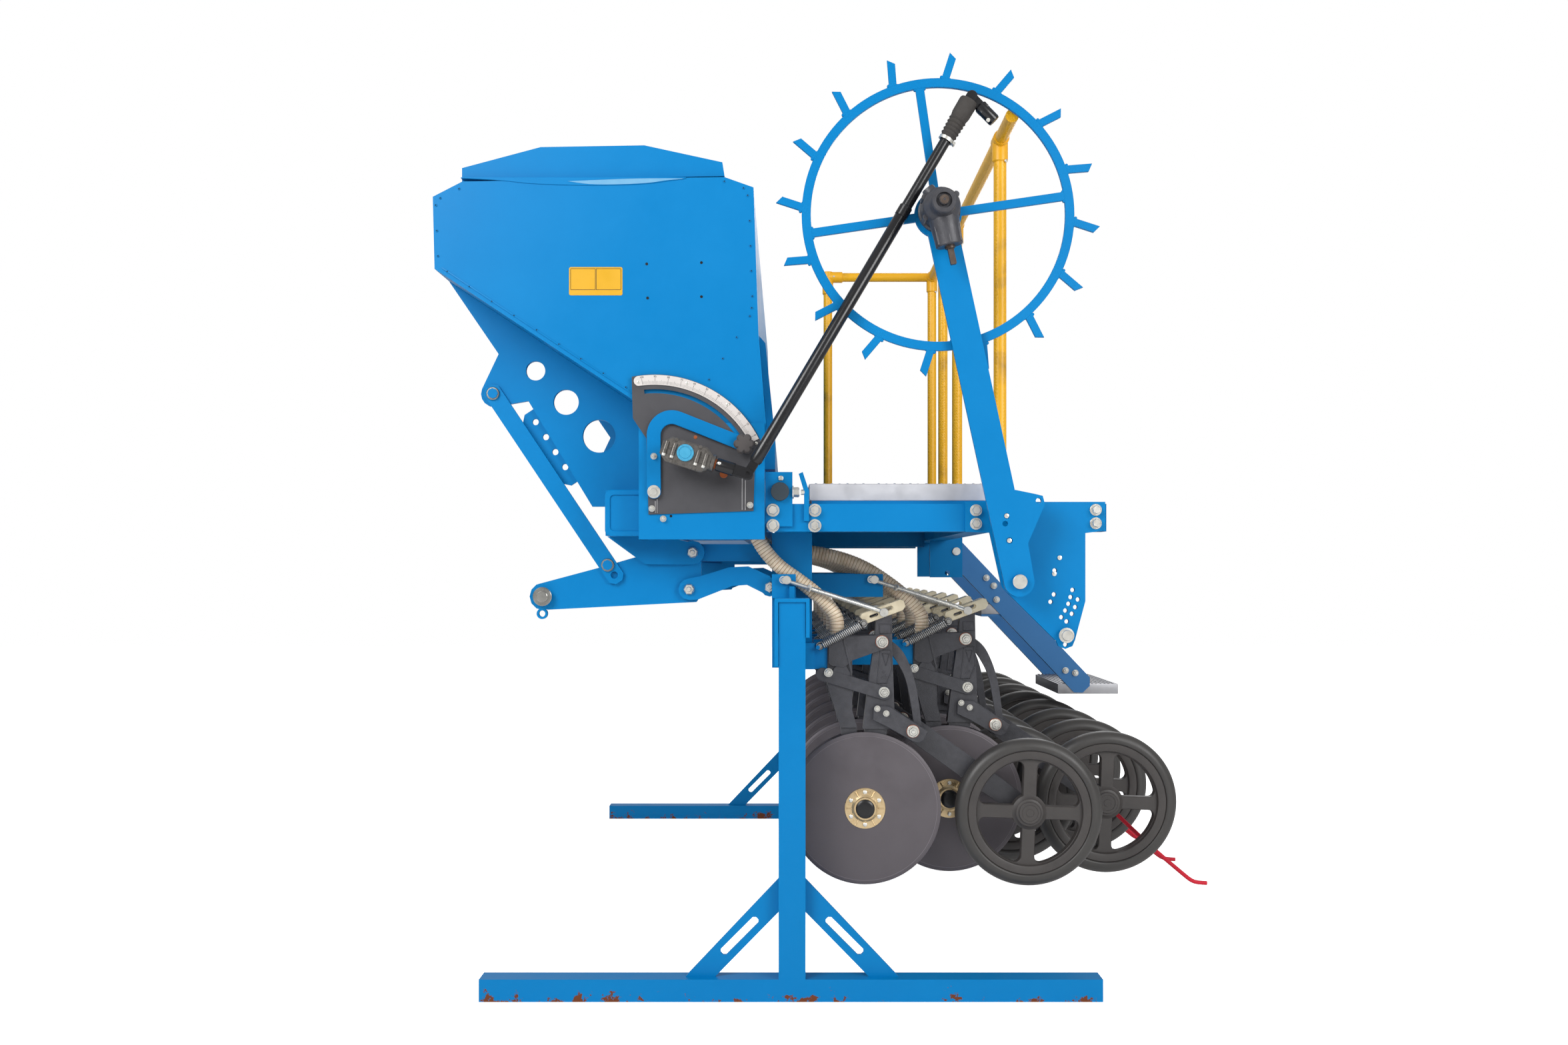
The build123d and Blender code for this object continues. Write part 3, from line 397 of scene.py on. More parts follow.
def box(shape, x, y, z, turn=0.0, edge=0.0):
    """A block from its (low, high) ranges in mm, turned about its middle in the side view."""
    middle = at((x[0] + x[1]) / 2, (y[0] + y[1]) / 2, (z[0] + z[1]) / 2)
    sides = Vector((x[1] - x[0], y[1] - y[0], z[1] - z[0])) / 1000
    place = Matrix.Translation(middle) @ Matrix.Rotation(-math.radians(turn), 4, "Y")
    made = bmesh.ops.create_cube(shape, size=1, matrix=place @ Matrix.Diagonal((*sides, 1)))
    if edge:
        edges = {e for v in made["verts"] for e in v.link_edges}
        bmesh.ops.bevel(
            shape, geom=list(edges), offset=edge / 1000, segments=2, affect="EDGES", profile=0.6
        )


def bolt(shape, place, out, flats=24, stud=0.0, washer=True):
    """A hex head or nut on its washer, stopped at its own angle, with a stud's end past it."""
    height = 3 if washer else 0
    half = flats / 2
    if washer:
        turned(shape, place, out, [(0, half * 1.48), (2.4, half * 1.48), (3, half * 1.4)], 24)
    turned(
        shape, place, out,
        [(height, half * 1.1), (height + flats * 0.5, half * 1.155),
         (height + flats * 0.62, half * 0.98)],
        6, phase=(place.x * 40) % 1,
    )
    if stud:
        top = height + flats * 0.62
        turned(
            shape, place, out,
            [(height, half * 0.55), (top + stud - 1.5, half * 0.55), (top + stud, half * 0.42)], 16,
        )


def finished_mesh(name, shape, material, smooth):
    """Turns a shape into a mesh with its finish, smooth up to an angle in degrees."""
    bmesh.ops.recalc_face_normals(shape, faces=shape.faces)
    mesh = bpy.data.meshes.new(name)
    shape.to_mesh(mesh)
    shape.free()
    mesh.polygons.foreach_set("use_smooth", [True] * len(mesh.polygons))
    mesh.set_sharp_from_angle(angle=math.radians(smooth))
    mesh.materials.append(material)
    return mesh


def add_piece(name, shape, material, body, replaced=(), smooth=32):
    """Makes a piece of a shape; it rides on a body and may replace CAD nodes."""
    mesh = finished_mesh(name, shape, material, smooth)
    piece = bpy.data.objects.new(name, mesh)
    scene.collection.objects.link(piece)
    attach(piece, body)
    if replaced:
        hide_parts(*replaced)


near = Vector((0, -1, 0))
far = Vector((0, 1, 0))
for node in ("main_frame", "coulter_frame", "hitch_frame", "coupling_arms", "hitch_links"):
    dress(node, blue_coat)

frame_bolts = bmesh.new()
for x, z in ((-43, 1096.5), (-43, 1062)):
    bolt(frame_bolts, at(x, -1238, z), near, 20)
for x, z in ((51, 1096.5), (51, 1062)):
    bolt(frame_bolts, at(x, -1230, z), near, 20)
for x, z in ((678.5, 1097), (678.5, 1067), (411, 1096), (411, 1066)):
    bolt(frame_bolts, at(x, -1242, z), near, 18)
for x, z in ((-43, 1094), (-43, 1063), (51, 1094), (51, 1063)):
    bolt(frame_bolts, at(x, 1230, z), far, 20)
for side, way in ((-1, near), (1, far)):
    for x, z, face in ((-230, 1003, 1111), (-238, 918, 1111), (-51, 923, 1111)):
        bolt(frame_bolts, at(x, side * face, z), way, 22, 4)
add_piece("frame_bolts", frame_bolts, zinc_plate, "root")

# Every cut hole is round, with a weld-cleaned rim, and the toolbar's mouth has rounded corners.
rims = bmesh.new()


def rim(shape, x, z, y, hole, width=2.6):
    """A round lining through a plate's hole, a hair proud of both faces."""
    low, high = y[0] - 0.15, y[1] + 0.15
    turned(
        shape, at(x, 0, z), (0, 1, 0),
        [(low, hole + 0.3), (low, hole + width), (high, hole + width), (high, hole + 0.3),
         (high - 0.4, hole), (low + 0.4, hole)],
        48, loop=True,
    )


for side in (-1, 1):
    cheek = sorted((side * 1094, side * 1106))
    for x, z, hole in ((-596, 1426, 22.4), (-525, 1353, 29.3), (-448, 1274, 38.2)):
        rim(rims, x, z, cheek, hole)
    inner = sorted((side * 1086, side * 1094))
    for x, z in ((-598, 1308), (-574, 1273), (-552, 1238), (-529, 1203)):
        rim(rims, x, z, inner, 7.3)
    turned(
        rims, at(-598, inner[0], 1308), (0, 1, 0),
        [(0.1, 7.6), (0.1, 28), (7.9, 28), (7.9, 7.6)], 48, loop=True,
    )
    rim(rims, -581, 861, cheek, 7.4, 5.2)
    rim(rims, -412, 951, sorted((side * 1106.3, side * 1114.3)), 8.3, 4)


def rounded(x, z, radius, steps=5):
    """The outline of a rectangle with round corners."""
    corners = (
        (x[1] - radius, z[1] - radius, 0), (x[0] + radius, z[1] - radius, 90),
        (x[0] + radius, z[0] + radius, 180), (x[1] - radius, z[0] + radius, 270),
    )
    return [p for cx, cz, turn in corners for p in arc(cx, cz, radius, turn, turn + 90, steps)]


mouth = [rounded((-423, -281), (1039, 1144), 14), rounded((-411, -293), (1051, 1132), 9)]
plate(rims, mouth, (-1203, -1194), 1.2)
add_piece("hole_rims", rims, blue_coat, "root")

# A dark rubber plug closes the boss beside the meter box: matt, nearly black, with a blue cast.
plug_rubber = finish("dark rubber plug", "#2C3B46", "#222E37", 0.6, 20, metallic=0.0)
plug = bmesh.new()
turned(plug, at(-27, -1238, 1138), near, [(0, 20.6), (12, 20.6), (13, 19.4)], 40)
add_piece("boss_plug", plug, plug_rubber, "root")
lug_bolts = bmesh.new()
turned(lug_bolts, at(-25, -1238, 1168), near, [(0, 6), (3, 5.6), (4, 4)], 20)
bolt(lug_bolts, at(1, -1233, 1137), (1, 0, 0), 20)
turned(lug_bolts, at(20, -1233, 1137), (1, 0, 0), [(0, 6), (8, 6)], 12)
add_piece("lug_bolts", lug_bolts, zinc_plate, "root")

# Turned steel pins with flat heads: grey, and bright where the links have rubbed them.
bright_steel = finish("machined steel", "#B9B8B4", "#86857F", 0.3, 30)
hitch_pins = bmesh.new()
for side, way in ((-1, near), (1, far)):
    turned(
        hitch_pins, at(-578, side * 1120, 901), way,
        [(0, 22), (1.5, 22), (3, 20), (3.2, 13), (7, 13), (8, 11.5)],
    )
    turned(
        hitch_pins, at(-693, side * 1114.4, 1372), way,
        [(0, 15), (4, 15), (5, 14), (5.2, 9), (7, 8)],
    )
    turned(
        hitch_pins, at(-427, side * 1114.4, 974), way,
        [(0, 15), (4, 15), (5, 14), (5.2, 9), (7, 8)],
    )
add_piece("hitch_pin_heads", hitch_pins, bright_steel, "root")

# ------------------------------------------------------------------ hopper and lid
# Folded sheet steel, 3 mm thick, powder coated blue. The end sheets overlap the body and are held
# by small rivets along their edges; the front seam is a welded flange.
fold = 2.0             # mm, the round of a folded edge
end_face = 1250        # mm from the mid-plane to an end sheet's face
for node in ("hopper", "hopper_lid", "meter_housing"):
    dress(node, blue_coat, fold)

rivets = bmesh.new()
rivet_centres = bmesh.new()
end_rivets = [
    (-784, 1791.6), (-794, 1775.8), (-791.5, 1719), (-789, 1662.6), (-768.4, 1628), (-719.3, 1594.6),
    (-669, 1561.3), (-619.5, 1530), (-569.3, 1497.8), (-519.7, 1466), (-470.6, 1433.4),
    (-420.5, 1401), (-370.5, 1370), (-741.8, 1812.6), (-151.2, 1829), (-108.2, 1814), (-99, 1797.8),
    (-94.4, 1741), (-92.9, 1685.2), (-90.8, 1629.4), (-88.8, 1573), (-89.8, 1547), (-93.9, 1528.6),
    (-123.6, 1481.5), (-154.3, 1434.4), (-185, 1387.4),
]
for x, z in end_rivets:
    for side, way in ((-1, near), (1, far)):
        turned(rivets, at(x, side * end_face, z), way, [(0, 3.2), (1.2, 2.9), (2.0, 1.6)], 12)
        turned(rivet_centres, at(x, side * (end_face + 2), z), way, [(0, 1.5), (0.15, 1.5)], 8)
add_piece("hopper_rivets", rivets, blue_coat, "root")

# A raised seam runs down the slanted front edge of each end sheet.
seams = bmesh.new()
seam_line = [(-780, 1622), (-356, 1342)]
run = Vector((seam_line[1][0] - seam_line[0][0], 0, seam_line[1][1] - seam_line[0][1]))
angle = math.degrees(math.atan2(run.z, run.x))
middle_x = (seam_line[0][0] + seam_line[1][0]) / 2
middle_z = (seam_line[0][1] + seam_line[1][1]) / 2 + 14
for side in (-1, 1):
    face = sorted((side * (end_face - 1), side * (end_face + 2)))
    box(
        seams, (middle_x - run.length / 2, middle_x + run.length / 2), face,
        (middle_z - 1.5, middle_z + 1.5), angle, 0.6,
    )
    box(seams, (-341, -338), face, (1292, 1334), 0, 0.6)
add_piece("hopper_seams", seams, blue_coat, "root")

# The lid's two folds stand up a little along its whole length.
lid_seams = bmesh.new()
for x, z in ((-562, 1910), (-331, 1913)):
    tube(lid_seams, [at(x, -1230, z - 2.2), at(x, 1230, z - 2.2)], 3, 8)
add_piece("lid_seams", lid_seams, blue_coat, "lid")


def smooth_line(points, steps=6):
    """Points (x, z) on a smooth line through the given ones."""
    line = []
    for i in range(len(points) - 1):
        a, b = points[max(i - 1, 0)], points[i]
        c, d = points[i + 1], points[min(i + 2, len(points) - 1)]
        for step in range(steps):
            t = step / steps
            spot = []
            for n in (0, 1):
                slope = (c[n] - a[n]) * t
                bend = (2 * a[n] - 5 * b[n] + 4 * c[n] - d[n]) * t ** 2
                twist = (3 * b[n] - a[n] - 3 * c[n] + d[n]) * t ** 3
                spot.append(0.5 * (2 * b[n] + slope + bend + twist))
            line.append(tuple(spot))
    return line + [points[-1]]


# The lid's near lip bows down at mid length and shows its rolled inside face.
lip = bmesh.new()
lip_edge = smooth_line(
    [(-738, 1836), (-650, 1831), (-580, 1824), (-487, 1820.5), (-400, 1820.5), (-323, 1824),
     (-270, 1831), (-236, 1835.6)]
)
plate(lip, [lip_edge + [(-236, 1838), (-738, 1838)]], (-end_face - 2, -end_face + 16), 0.6)
add_piece("lid_lip", lip, blue_coat, "lid")

# A painted highlight: a pale blue stripe on the lip's bow at mid length, where the rolled lip catches the
# light.
lip_painted_highlight = finish("painted highlight on blue coat", "#74A9C8", "#4F90BC", 0.3, 60, metallic=0.0)
highlight_strip = bmesh.new()
highlight_outline = smooth_line(
    [(-500, 1829), (-450, 1822.6), (-390, 1822), (-323, 1825.2), (-280, 1831), (-242, 1834.8),
     (-300, 1835.4), (-380, 1834), (-500, 1829)]
)
plate(highlight_strip, [highlight_outline[:-1]], (-end_face - 2.6, -end_face - 1.9), 0.2)
add_piece("lid_lip_painted_highlight", highlight_strip, lip_painted_highlight, "lid")

# Open holes show no more than a matt near-black: the rivets' centres, four bolt holes in the near
# end and one under the quadrant.
hole_black = finish("shadow in a hole", "#10151A", "#0A0D10", 0.9, metallic=0.0)
add_piece("rivet_centres", rivet_centres, hole_black, "root")
holes = bmesh.new()
for x, z in ((-324, 1645), (-202, 1648), (-322, 1569), (-202, 1572)):
    turned(holes, at(x, -end_face, z), near, [(0, 3.2), (0.5, 3.2)], 16)
turned(holes, at(-269.4, -1256, 1082.6), near, [(0, 3.0), (0.5, 3.0)], 16)
add_piece("hopper_holes", holes, hole_black, "root")

# A blank yellow vinyl label with rounded corners and two thin printed frames: flat even yellow with
# a low sheen, and matt black ink.
yellow_vinyl = finish("yellow vinyl", "#D29E00", "#C89600", 0.38, 60, metallic=0.0)
label_ink = finish("black label ink", "#23211C", "#1D1B17", 0.45, metallic=0.0)
label_x = (-497, -378)
label_z = (1575, 1638)
label_split = -437.5
label = bmesh.new()
plate(label, [rounded(label_x, label_z, 4)], (-end_face - 0.5, -end_face), 0.1)
add_piece("blank_label", label, yellow_vinyl, "root")
border = bmesh.new()
for low, high in ((label_x[0] + 3, label_split - 0.5), (label_split + 0.5, label_x[1] - 3)):
    z = (label_z[0] + 12, label_z[1] - 3)
    inside = ((low + 1, high - 1), (z[0] + 1, z[1] - 1))
    frame_line = [rounded((low, high), z, 2), rounded(*inside, 1.4)]
    plate(border, frame_line, (-end_face - 0.8, -end_face - 0.45), 0.1)
add_piece("label_border", border, label_ink, "root")

# ------------------------------------------------------------------ seed rate quadrant
# A black painted plate with a curved slot, a white printed scale strip from 0 to 100, and a bent
# blue lever that a star knob clamps to the slot.
# Satin black, slightly grey with dust; the scale is a warm off-white with a low sheen.
black_paint = finish("satin black paint", "#434347", "#37363A", 0.5, 45, 1.6, 0.00012, 0.0)
white_enamel = finish("white printed aluminium", "#CFC9C5", "#C1BBB8", 0.42, 60, metallic=0.0)
pivot = (-305.4, 1136.4)      # centre of the scale's arc
lever_pin = (-306.5, 1136.4)
knob_middle = (-106, 1241)
quadrant_face = -1259
lever_face = -1267
scale_in, scale_out = 238, 260
scale_round = 98.2     # degrees, where the strip's round end starts
dress("rate_quadrant", black_paint, 0.4)

# Fold ridges along the plate's lower edges, coloured pale grey: a painted highlight where each fold
# catches the light.
folds = bmesh.new()
for x, low, high in ((-300, 1089, 1120), (-304, 1089, 1116), (-104, 1096, 1162), (-111, 1096, 1166)):
    turned(folds, at(x, quadrant_face, low), (0, 0, 1), [(0, 1.6), (high - low, 1.6)], 10)
fold_highlight_grey = finish("painted highlight on black folds", "#8B8A8C", "#6B6A6C", 0.4, 20, metallic=0.3)
add_piece("quadrant_fold_highlights", folds, fold_highlight_grey, "root")

scale = bmesh.new()
strip = arc(*pivot, scale_out, scale_round, 27, 40) + arc(*pivot, scale_in, 27, scale_round, 40)
end_turn = math.radians(scale_round)
scale_middle = (scale_in + scale_out) / 2
end_x = pivot[0] + scale_middle * math.cos(end_turn)
end_z = pivot[1] + scale_middle * math.sin(end_turn)
strip += arc(end_x, end_z, scale_middle - scale_in, scale_round + 180, scale_round, 10)[1:-1]
plate(scale, [strip], (quadrant_face - 1.8, quadrant_face - 0.9), 0.2)
add_piece("rate_scale", scale, white_enamel, "root")

ticks = bmesh.new()
scale_start = 96.5      # degrees, where the scale's 100 stands
scale_end = 29.5        # and its 0
for number in range(101):
    turn = math.radians(scale_start + (scale_end - scale_start) * number / 100)
    long = 13 if number % 10 == 0 else 9 if number % 5 == 0 else 6.5
    way = Vector((math.cos(turn), 0, math.sin(turn)))
    side = Vector((-way.z, 0, way.x)) * (0.35 if number % 10 == 0 else 0.22)
    foot = Vector((pivot[0], 0, pivot[1])) + way * (scale_in + 2)
    tip = foot + way * long
    corners = [foot - side, foot + side, tip + side, tip - side]
    face = [ticks.verts.new(at(c.x, quadrant_face - 1.9, c.z)) for c in corners]
    ticks.faces.new(face)
add_piece("scale_ticks", ticks, label_ink, "root")

digit_height = 0.0062
for number in range(11):
    turn = scale_start + (scale_end - scale_start) * number / 10
    words = bpy.data.curves.new(f"scale_number_{number:02d}", "FONT")
    words.body = str(100 - 10 * number)
    words.size = digit_height
    words.align_x = "CENTER"
    words.align_y = "CENTER"
    words.extrude = 0.00008
    text = bpy.data.objects.new(words.name, words)
    digits = bpy.data.meshes.new_from_object(text)
    bpy.data.objects.remove(text)
    way = math.radians(turn)
    reach = scale_out - 4
    spot = at(
        pivot[0] + reach * math.cos(way), quadrant_face - 1.95, pivot[1] + reach * math.sin(way)
    )
    upright = Matrix.Rotation(math.radians(90), 4, "X")
    lean = Matrix.Rotation(math.radians(90 - turn), 4, "Y")
    digits.transform(Matrix.Translation(spot) @ lean @ upright)
    digits.materials.append(label_ink)
    mark = bpy.data.objects.new(f"scale_number_{number:02d}", digits)
    scene.collection.objects.link(mark)
    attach(mark, "root")

# The lever is one strip of 5 mm flat, bent round an elbow between its pin and the knob.
lever = bmesh.new()
half = 15.5
bend = (-267, 1262)
bend_radius = 40
lean = 68.3
elbow = arc(*bend, bend_radius + half, 180, lean, 12)
inner_elbow = arc(*bend, bend_radius - half, lean, 180, 12)
outline = (
    arc(*lever_pin, half, 180, 360, 12) + inner_elbow[::-1]
    + arc(*knob_middle, half, lean - 180, lean, 12) + elbow[::-1]
)
plate(lever, [outline, circle(*lever_pin, 6)], (lever_face, lever_face + 5), 1.0)
add_piece("rate_lever_strip", lever, blue_coat, "root", ("rate_lever",))

# Star knob: six lobes of black phenolic, dull with dust.
phenolic = finish("dusty phenolic", "#514C4B", "#3B3737", 0.62, 14, 1.2, 0.0002, 0.0)
knob = bmesh.new()
star = []
for number in range(72):
    turn = math.tau * number / 72
    reach = 18.2 + 5.2 * abs(math.cos(3 * turn)) ** 0.7
    star.append((knob_middle[0] + reach * math.cos(turn), knob_middle[1] + reach * math.sin(turn)))
plate(knob, [star], (-1289, -1272), 3.5)
turned(knob, at(knob_middle[0], lever_face, knob_middle[1]), near, [(0, 11), (8, 11)], 24)
add_piece("star_knob", knob, phenolic, "root")

quadrant_bolts = bmesh.new()
turned(
    quadrant_bolts, at(lever_pin[0], lever_face, lever_pin[1]), near,
    [(0, 14.5), (1.6, 14.5), (2, 14), (2, 10), (2.6, 9.6), (2.6, 7.5), (7, 7.5), (8, 6.5)],
)
for x, z, face in (
    (-306.5, 1214.9, lever_face), (-311.5, 1099, quadrant_face), (-93.5, 1106.9, quadrant_face),
    (-286.6, 1076.5, -1256),
):
    bolt(quadrant_bolts, at(x, face, z), near, 10, 3)
for x, z in ((-341.9, 1380.2), (-233.4, 1378.1), (-143.7, 1330.5), (-79.4, 1244.5)):
    turned(quadrant_bolts, at(x, quadrant_face - 1, z), near, [(0, 3.4), (1.4, 3.2), (1.8, 2.2)], 16)
add_piece("quadrant_bolts", quadrant_bolts, zinc_plate, "root")

# ------------------------------------------------------------------ meter gearbox
# Sand-cast box of two halves held by four long bolts in barrel bosses, with a blue plastic level
# cap. Its output carries a fork for the drive shaft.
# Cast iron, dark and pitted, with a wet gleam where oil has caught dust.
cast_iron = finish("oily cast iron", "#7E7A75", "#4A4744", 0.3, 9, 2.2, 0.0006, 0.7)
gear = (-230, 1214)
fork = (-97, 1172)
shaft_y = -1318        # the line of the gearbox's output and of the drive shaft
fall = math.atan2(fork[1] - gear[1], fork[0] - gear[0])
along = Vector((math.cos(fall), 0, math.sin(fall)))
across = Vector((-along.z, 0, along.x))
gear_middle = Vector((gear[0], 0, gear[1]))


def beside(distance, side, y):
    """A place on the gearbox: along its output line, across it, and at y."""
    spot = gear_middle + along * distance + across * side
    return at(spot.x, y, spot.z)


casing = bmesh.new()
casing_front = -1338
barrels = (-47, -29, 25, 43)
outline = []
for u, v in ((-57, 14), (-40, 28), (40, 28), (57, 14), (57, -14), (40, -28), (-40, -28), (-57, -14)):
    spot = gear_middle + along * u + across * v
    outline.append((spot.x, spot.z))
plate(casing, [outline], (casing_front, shaft_y - 0.6), 3.5)
plate(casing, [outline], (shaft_y + 0.6, -1297), 3.5)
for u in barrels:
    tube(casing, [beside(u, -12, casing_front), beside(u, 15, casing_front)], 5.4, 16)
for u in barrels[1:3]:
    for v in (-24, 24):
        turned(casing, beside(u, v, casing_front + 2), near, [(0, 5), (3, 4.6), (4, 3.4)], 16)
turned(casing, beside(56, 0, shaft_y), along, [(0, 19), (7, 19), (8, 17)], 24)
turned(casing, at(gear[0], -1297, gear[1]), far, [(0, 14), (37.9, 14)], 24)
add_piece("gearbox_casing", casing, cast_iron, "root", ("meter_gearbox",))

gear_bolts = bmesh.new()
for u in barrels:
    turned(gear_bolts, beside(u, -11.5, casing_front), -across, [(0, 4.6), (5.5, 4.4), (6.5, 3)], 12)
turned(gear_bolts, beside(74, 3, -1330), near, [(0, 4), (2.2, 3.6), (3, 2)], 16)
add_piece("gearbox_bolts", gear_bolts, zinc_plate, "root")

# Level cap moulded in pale blue polyethylene: clear blue, waxy, with a raised rim and eight ribs.
cap_blue = finish("pale blue polyethylene", "#3F9FC4", "#358FB4", 0.4, 12, metallic=0.0)
cap = bmesh.new()
cap_middle = (gear[0] - 2, gear[1] + 3)
turned(
    cap, at(cap_middle[0], casing_front, cap_middle[1]), near,
    [(0, 18.6), (3, 18.6), (4, 17.6), (4, 14.6), (2.8, 13.8), (2.8, 12.4), (4, 11.6), (4.2, 0.3)], 40,
)
for number in range(8):
    turn = math.radians(22 + 45 * number)
    spots = []
    for reach in (14.2, 17.6):
        x = cap_middle[0] + reach * math.cos(turn)
        z = cap_middle[1] + reach * math.sin(turn)
        spots.append(at(x, casing_front - 4.2, z))
    tube(cap, spots, 0.8, 6)
add_piece("gearbox_level_cap", cap, cap_blue, "root")

# Fresh rust, dry and orange brown, where the shaft leaves its seal and on two studs behind the box.
rust = finish("fresh rust", "#A9592B", "#7A3E1E", 0.85, 6, 1.5, 0.0003, 0.0)
rusty = bmesh.new()
turned(rusty, beside(64, 0, shaft_y), along, [(0, 11), (6, 11)], 20)
turned(rusty, at(-151.7, -1262, 1175.7), near, [(0, 9), (5, 9), (6, 7.5)], 20)
turned(rusty, at(-212, -1300, 1254), near, [(0, 4), (6, 4)], 12)
add_piece("rusted_stub", rusty, rust, "root")

# Fork: a sleeve, a square bridge and two ears round the cross, in gloss black that mirrors the lamps.
gloss_black = finish("gloss black paint", "#17171A", "#101012", 0.22, 80, 3.0, 0.00006, 0.0)
yoke = bmesh.new()
turned(yoke, beside(68, 0, shaft_y), along, [(0, 13.5), (2, 14.5), (40, 14.5), (43, 12)], 28)


def ears(shape, root, tip, y, gap, thickness, width):
    """Two rounded ears of a fork, each from its root to round its pin at the tip."""
    run = Vector((tip[0] - root[0], 0, tip[1] - root[1]))
    angle = math.degrees(math.atan2(run.z, run.x))
    half = width / 2
    side = Vector((-run.z, 0, run.x)).normalized() * half
    outline = [(root[0] + side.x, root[1] + side.z), (root[0] - side.x, root[1] - side.z)]
    outline += arc(tip[0], tip[1], half, angle - 90, angle + 90, 10)
    for low in (y - gap - thickness, y + gap):
        plate(shape, [outline], (low, low + thickness), 1.2)


root = gear_middle + along * 108
ears(yoke, (root.x, root.z), fork, shaft_y, 11, 6, 24)
turned(
    yoke, beside(106, 0, shaft_y), along, [(0, 12), (2, 16.8), (9, 16.8), (10, 15.5)], 4,
    phase=math.tau / 8,
)
add_piece("gearbox_yoke", yoke, gloss_black, "root")

# ------------------------------------------------------------------ drive shaft
# Telescopic shaft folded away for transport: two black painted steel tubes one in the other, a
# universal joint at each end, and a rubber bellows clamped under the upper one.
low_joint = Vector((fork[0], shaft_y, fork[1]))
high_joint = Vector((391, shaft_y, 1995))
fork_end = Vector((442, shaft_y, 1943))
shaft_way = (high_joint - low_joint).normalized()


def up_shaft(distance):
    """A place on the shaft's line, in mm from its lower joint."""
    spot = low_joint + shaft_way * distance
    return at(*spot)


shaft = bmesh.new()
turned(shaft, up_shaft(0), shaft_way, [(30, 12), (36, 14), (74, 14), (78, 13.5)], 32)
turned(shaft, up_shaft(0), shaft_way, [(70, 13.5), (676, 13.5), (678, 12.4)], 32)
turned(shaft, up_shaft(0), shaft_way, [(655, 14.6), (678, 14.6), (680, 13)], 32)
turned(shaft, up_shaft(0), shaft_way, [(676, 12), (880, 12)], 32)
turned(shaft, up_shaft(0), shaft_way, [(8, 8), (14, 9), (34, 9)], 20)
top = (high_joint - low_joint).length
root = low_joint + shaft_way * 34
ears(shaft, (root.x, root.z), fork, shaft_y, 3.5, 5.5, 20)
root = low_joint + shaft_way * (top - 34)
ears(shaft, (root.x, root.z), (high_joint.x, high_joint.z), shaft_y, 9, 5, 24)
turned(shaft, up_shaft(0), shaft_way, [(925, 12), (top - 38, 12), (top - 30, 16)], 28)
end_way = (fork_end - high_joint).normalized()
turned(shaft, at(*high_joint), end_way, [(24, 10), (28, 14), (70, 14), (72.8, 12.6)], 28)
neck = high_joint + end_way * 34
ears(shaft, (neck.x, neck.z), (high_joint.x, high_joint.z), shaft_y, 2.5, 6, 20)
turned(
    shaft, at(*high_joint), end_way, [(26, 12), (29, 16.5), (40, 16.5), (43, 14)], 4, phase=math.tau / 8
)
turned(shaft, at(*high_joint), far, [(-14, 8), (14, 8)], 16)
turned(shaft, at(*low_joint), far, [(-17, 4.9), (17, 4.9)], 20)
add_piece("drive_shaft_tubes", shaft, gloss_black, "drive_shaft", ("drive_shaft",))

# Rubber bellows moulded in five folds under a smooth cuff: dull charcoal, browned by dust.
boot_rubber = finish("dusty rubber", "#3F3B38", "#2E2B29", 0.75, 12, 0.9, 0.0001, 0.0)
boot = bmesh.new()
profile = [(852, 14.5)]
for number in range(5):
    base = 858 + number * 9
    wider = number * 0.4
    profile += [(base, 16.2 + wider), (base + 3, 18.6 + wider), (base + 6, 16.8 + wider)]
profile += [(906, 19.5), (912, 20.8), (944, 21.2), (948, 20)]
turned(boot, up_shaft(0), shaft_way, profile, 36)
add_piece("shaft_bellows", boot, boot_rubber, "drive_shaft")

# Hose clamp round the cuff, its screw, and the pin of the upper fork.
clamp = bmesh.new()
turned(
    clamp, up_shaft(0), shaft_way, [(846, 14), (846, 17), (853, 17), (853, 14)], 36, loop=True
)
side = Vector((shaft_way.z, 0, -shaft_way.x))
screw = low_joint + shaft_way * 849 + side * 19
turned(clamp, at(*screw), (0, 1, 0), [(-9, 3.4), (9, 3.4)], 12)
screw = Vector((426, shaft_y - 13, 1941))
turned(clamp, at(*screw), near, [(0, 4.4), (3.4, 4.4), (4, 3.8)], 12)
add_piece("shaft_clamp", clamp, zinc_plate, "drive_shaft")

# ------------------------------------------------------------------ ground wheel
# Ring, spokes and spikes cut from 10 mm flat bar, welded and powder coated blue. It rolls on the
# ground in work and drives the seed meter.
hub = (321, 1745)
ring_in, ring_out = 280, 300
wheel_face = (-1295, -1285)
bar_face = (wheel_face[0] + 0.4, wheel_face[1] - 0.4)
wheel = bmesh.new()
plate(wheel, [circle(*hub, ring_out, 120), circle(*hub, ring_in, 120)], wheel_face, 0.8)
weld_spots = []


def from_hub(way, reach, aside):
    """A place (x, z) on the wheel: out from its hub along a way, and across that way."""
    return (hub[0] + way.x * reach - way.z * aside, hub[1] + way.z * reach + way.x * aside)


for number in range(4):
    turn = math.radians(98.3 - 90 * number)
    way = Vector((math.cos(turn), 0, math.sin(turn)))
    spoke = [from_hub(way, *c) for c in ((20, -9.5), (283, -9.5), (283, 9.5), (20, 9.5))]
    plate(wheel, [spoke], bar_face, 0.8)
    for aside in (-10.5, 10.5):
        weld_spots.append(from_hub(way, ring_in - 1, aside))
for number in range(16):
    turn = math.radians(87 - 22.5 * number)
    lean = turn - math.radians(15)
    foot = Vector((hub[0] + 297 * math.cos(turn), 0, hub[1] + 297 * math.sin(turn)))
    way = Vector((math.cos(lean), 0, math.sin(lean)))
    side = Vector((-way.z, 0, way.x))
    low, high = foot - side * 8.5, foot + side * 8.5
    corners = [low, high, high + way * 60, low + way * 51]
    plate(wheel, [[(c.x, c.z) for c in corners]], bar_face, 0.8)
    for aside in (-9.5, 9.5):
        spot = foot + side * aside + way * 3.5
        weld_spots.append((spot.x, spot.z))
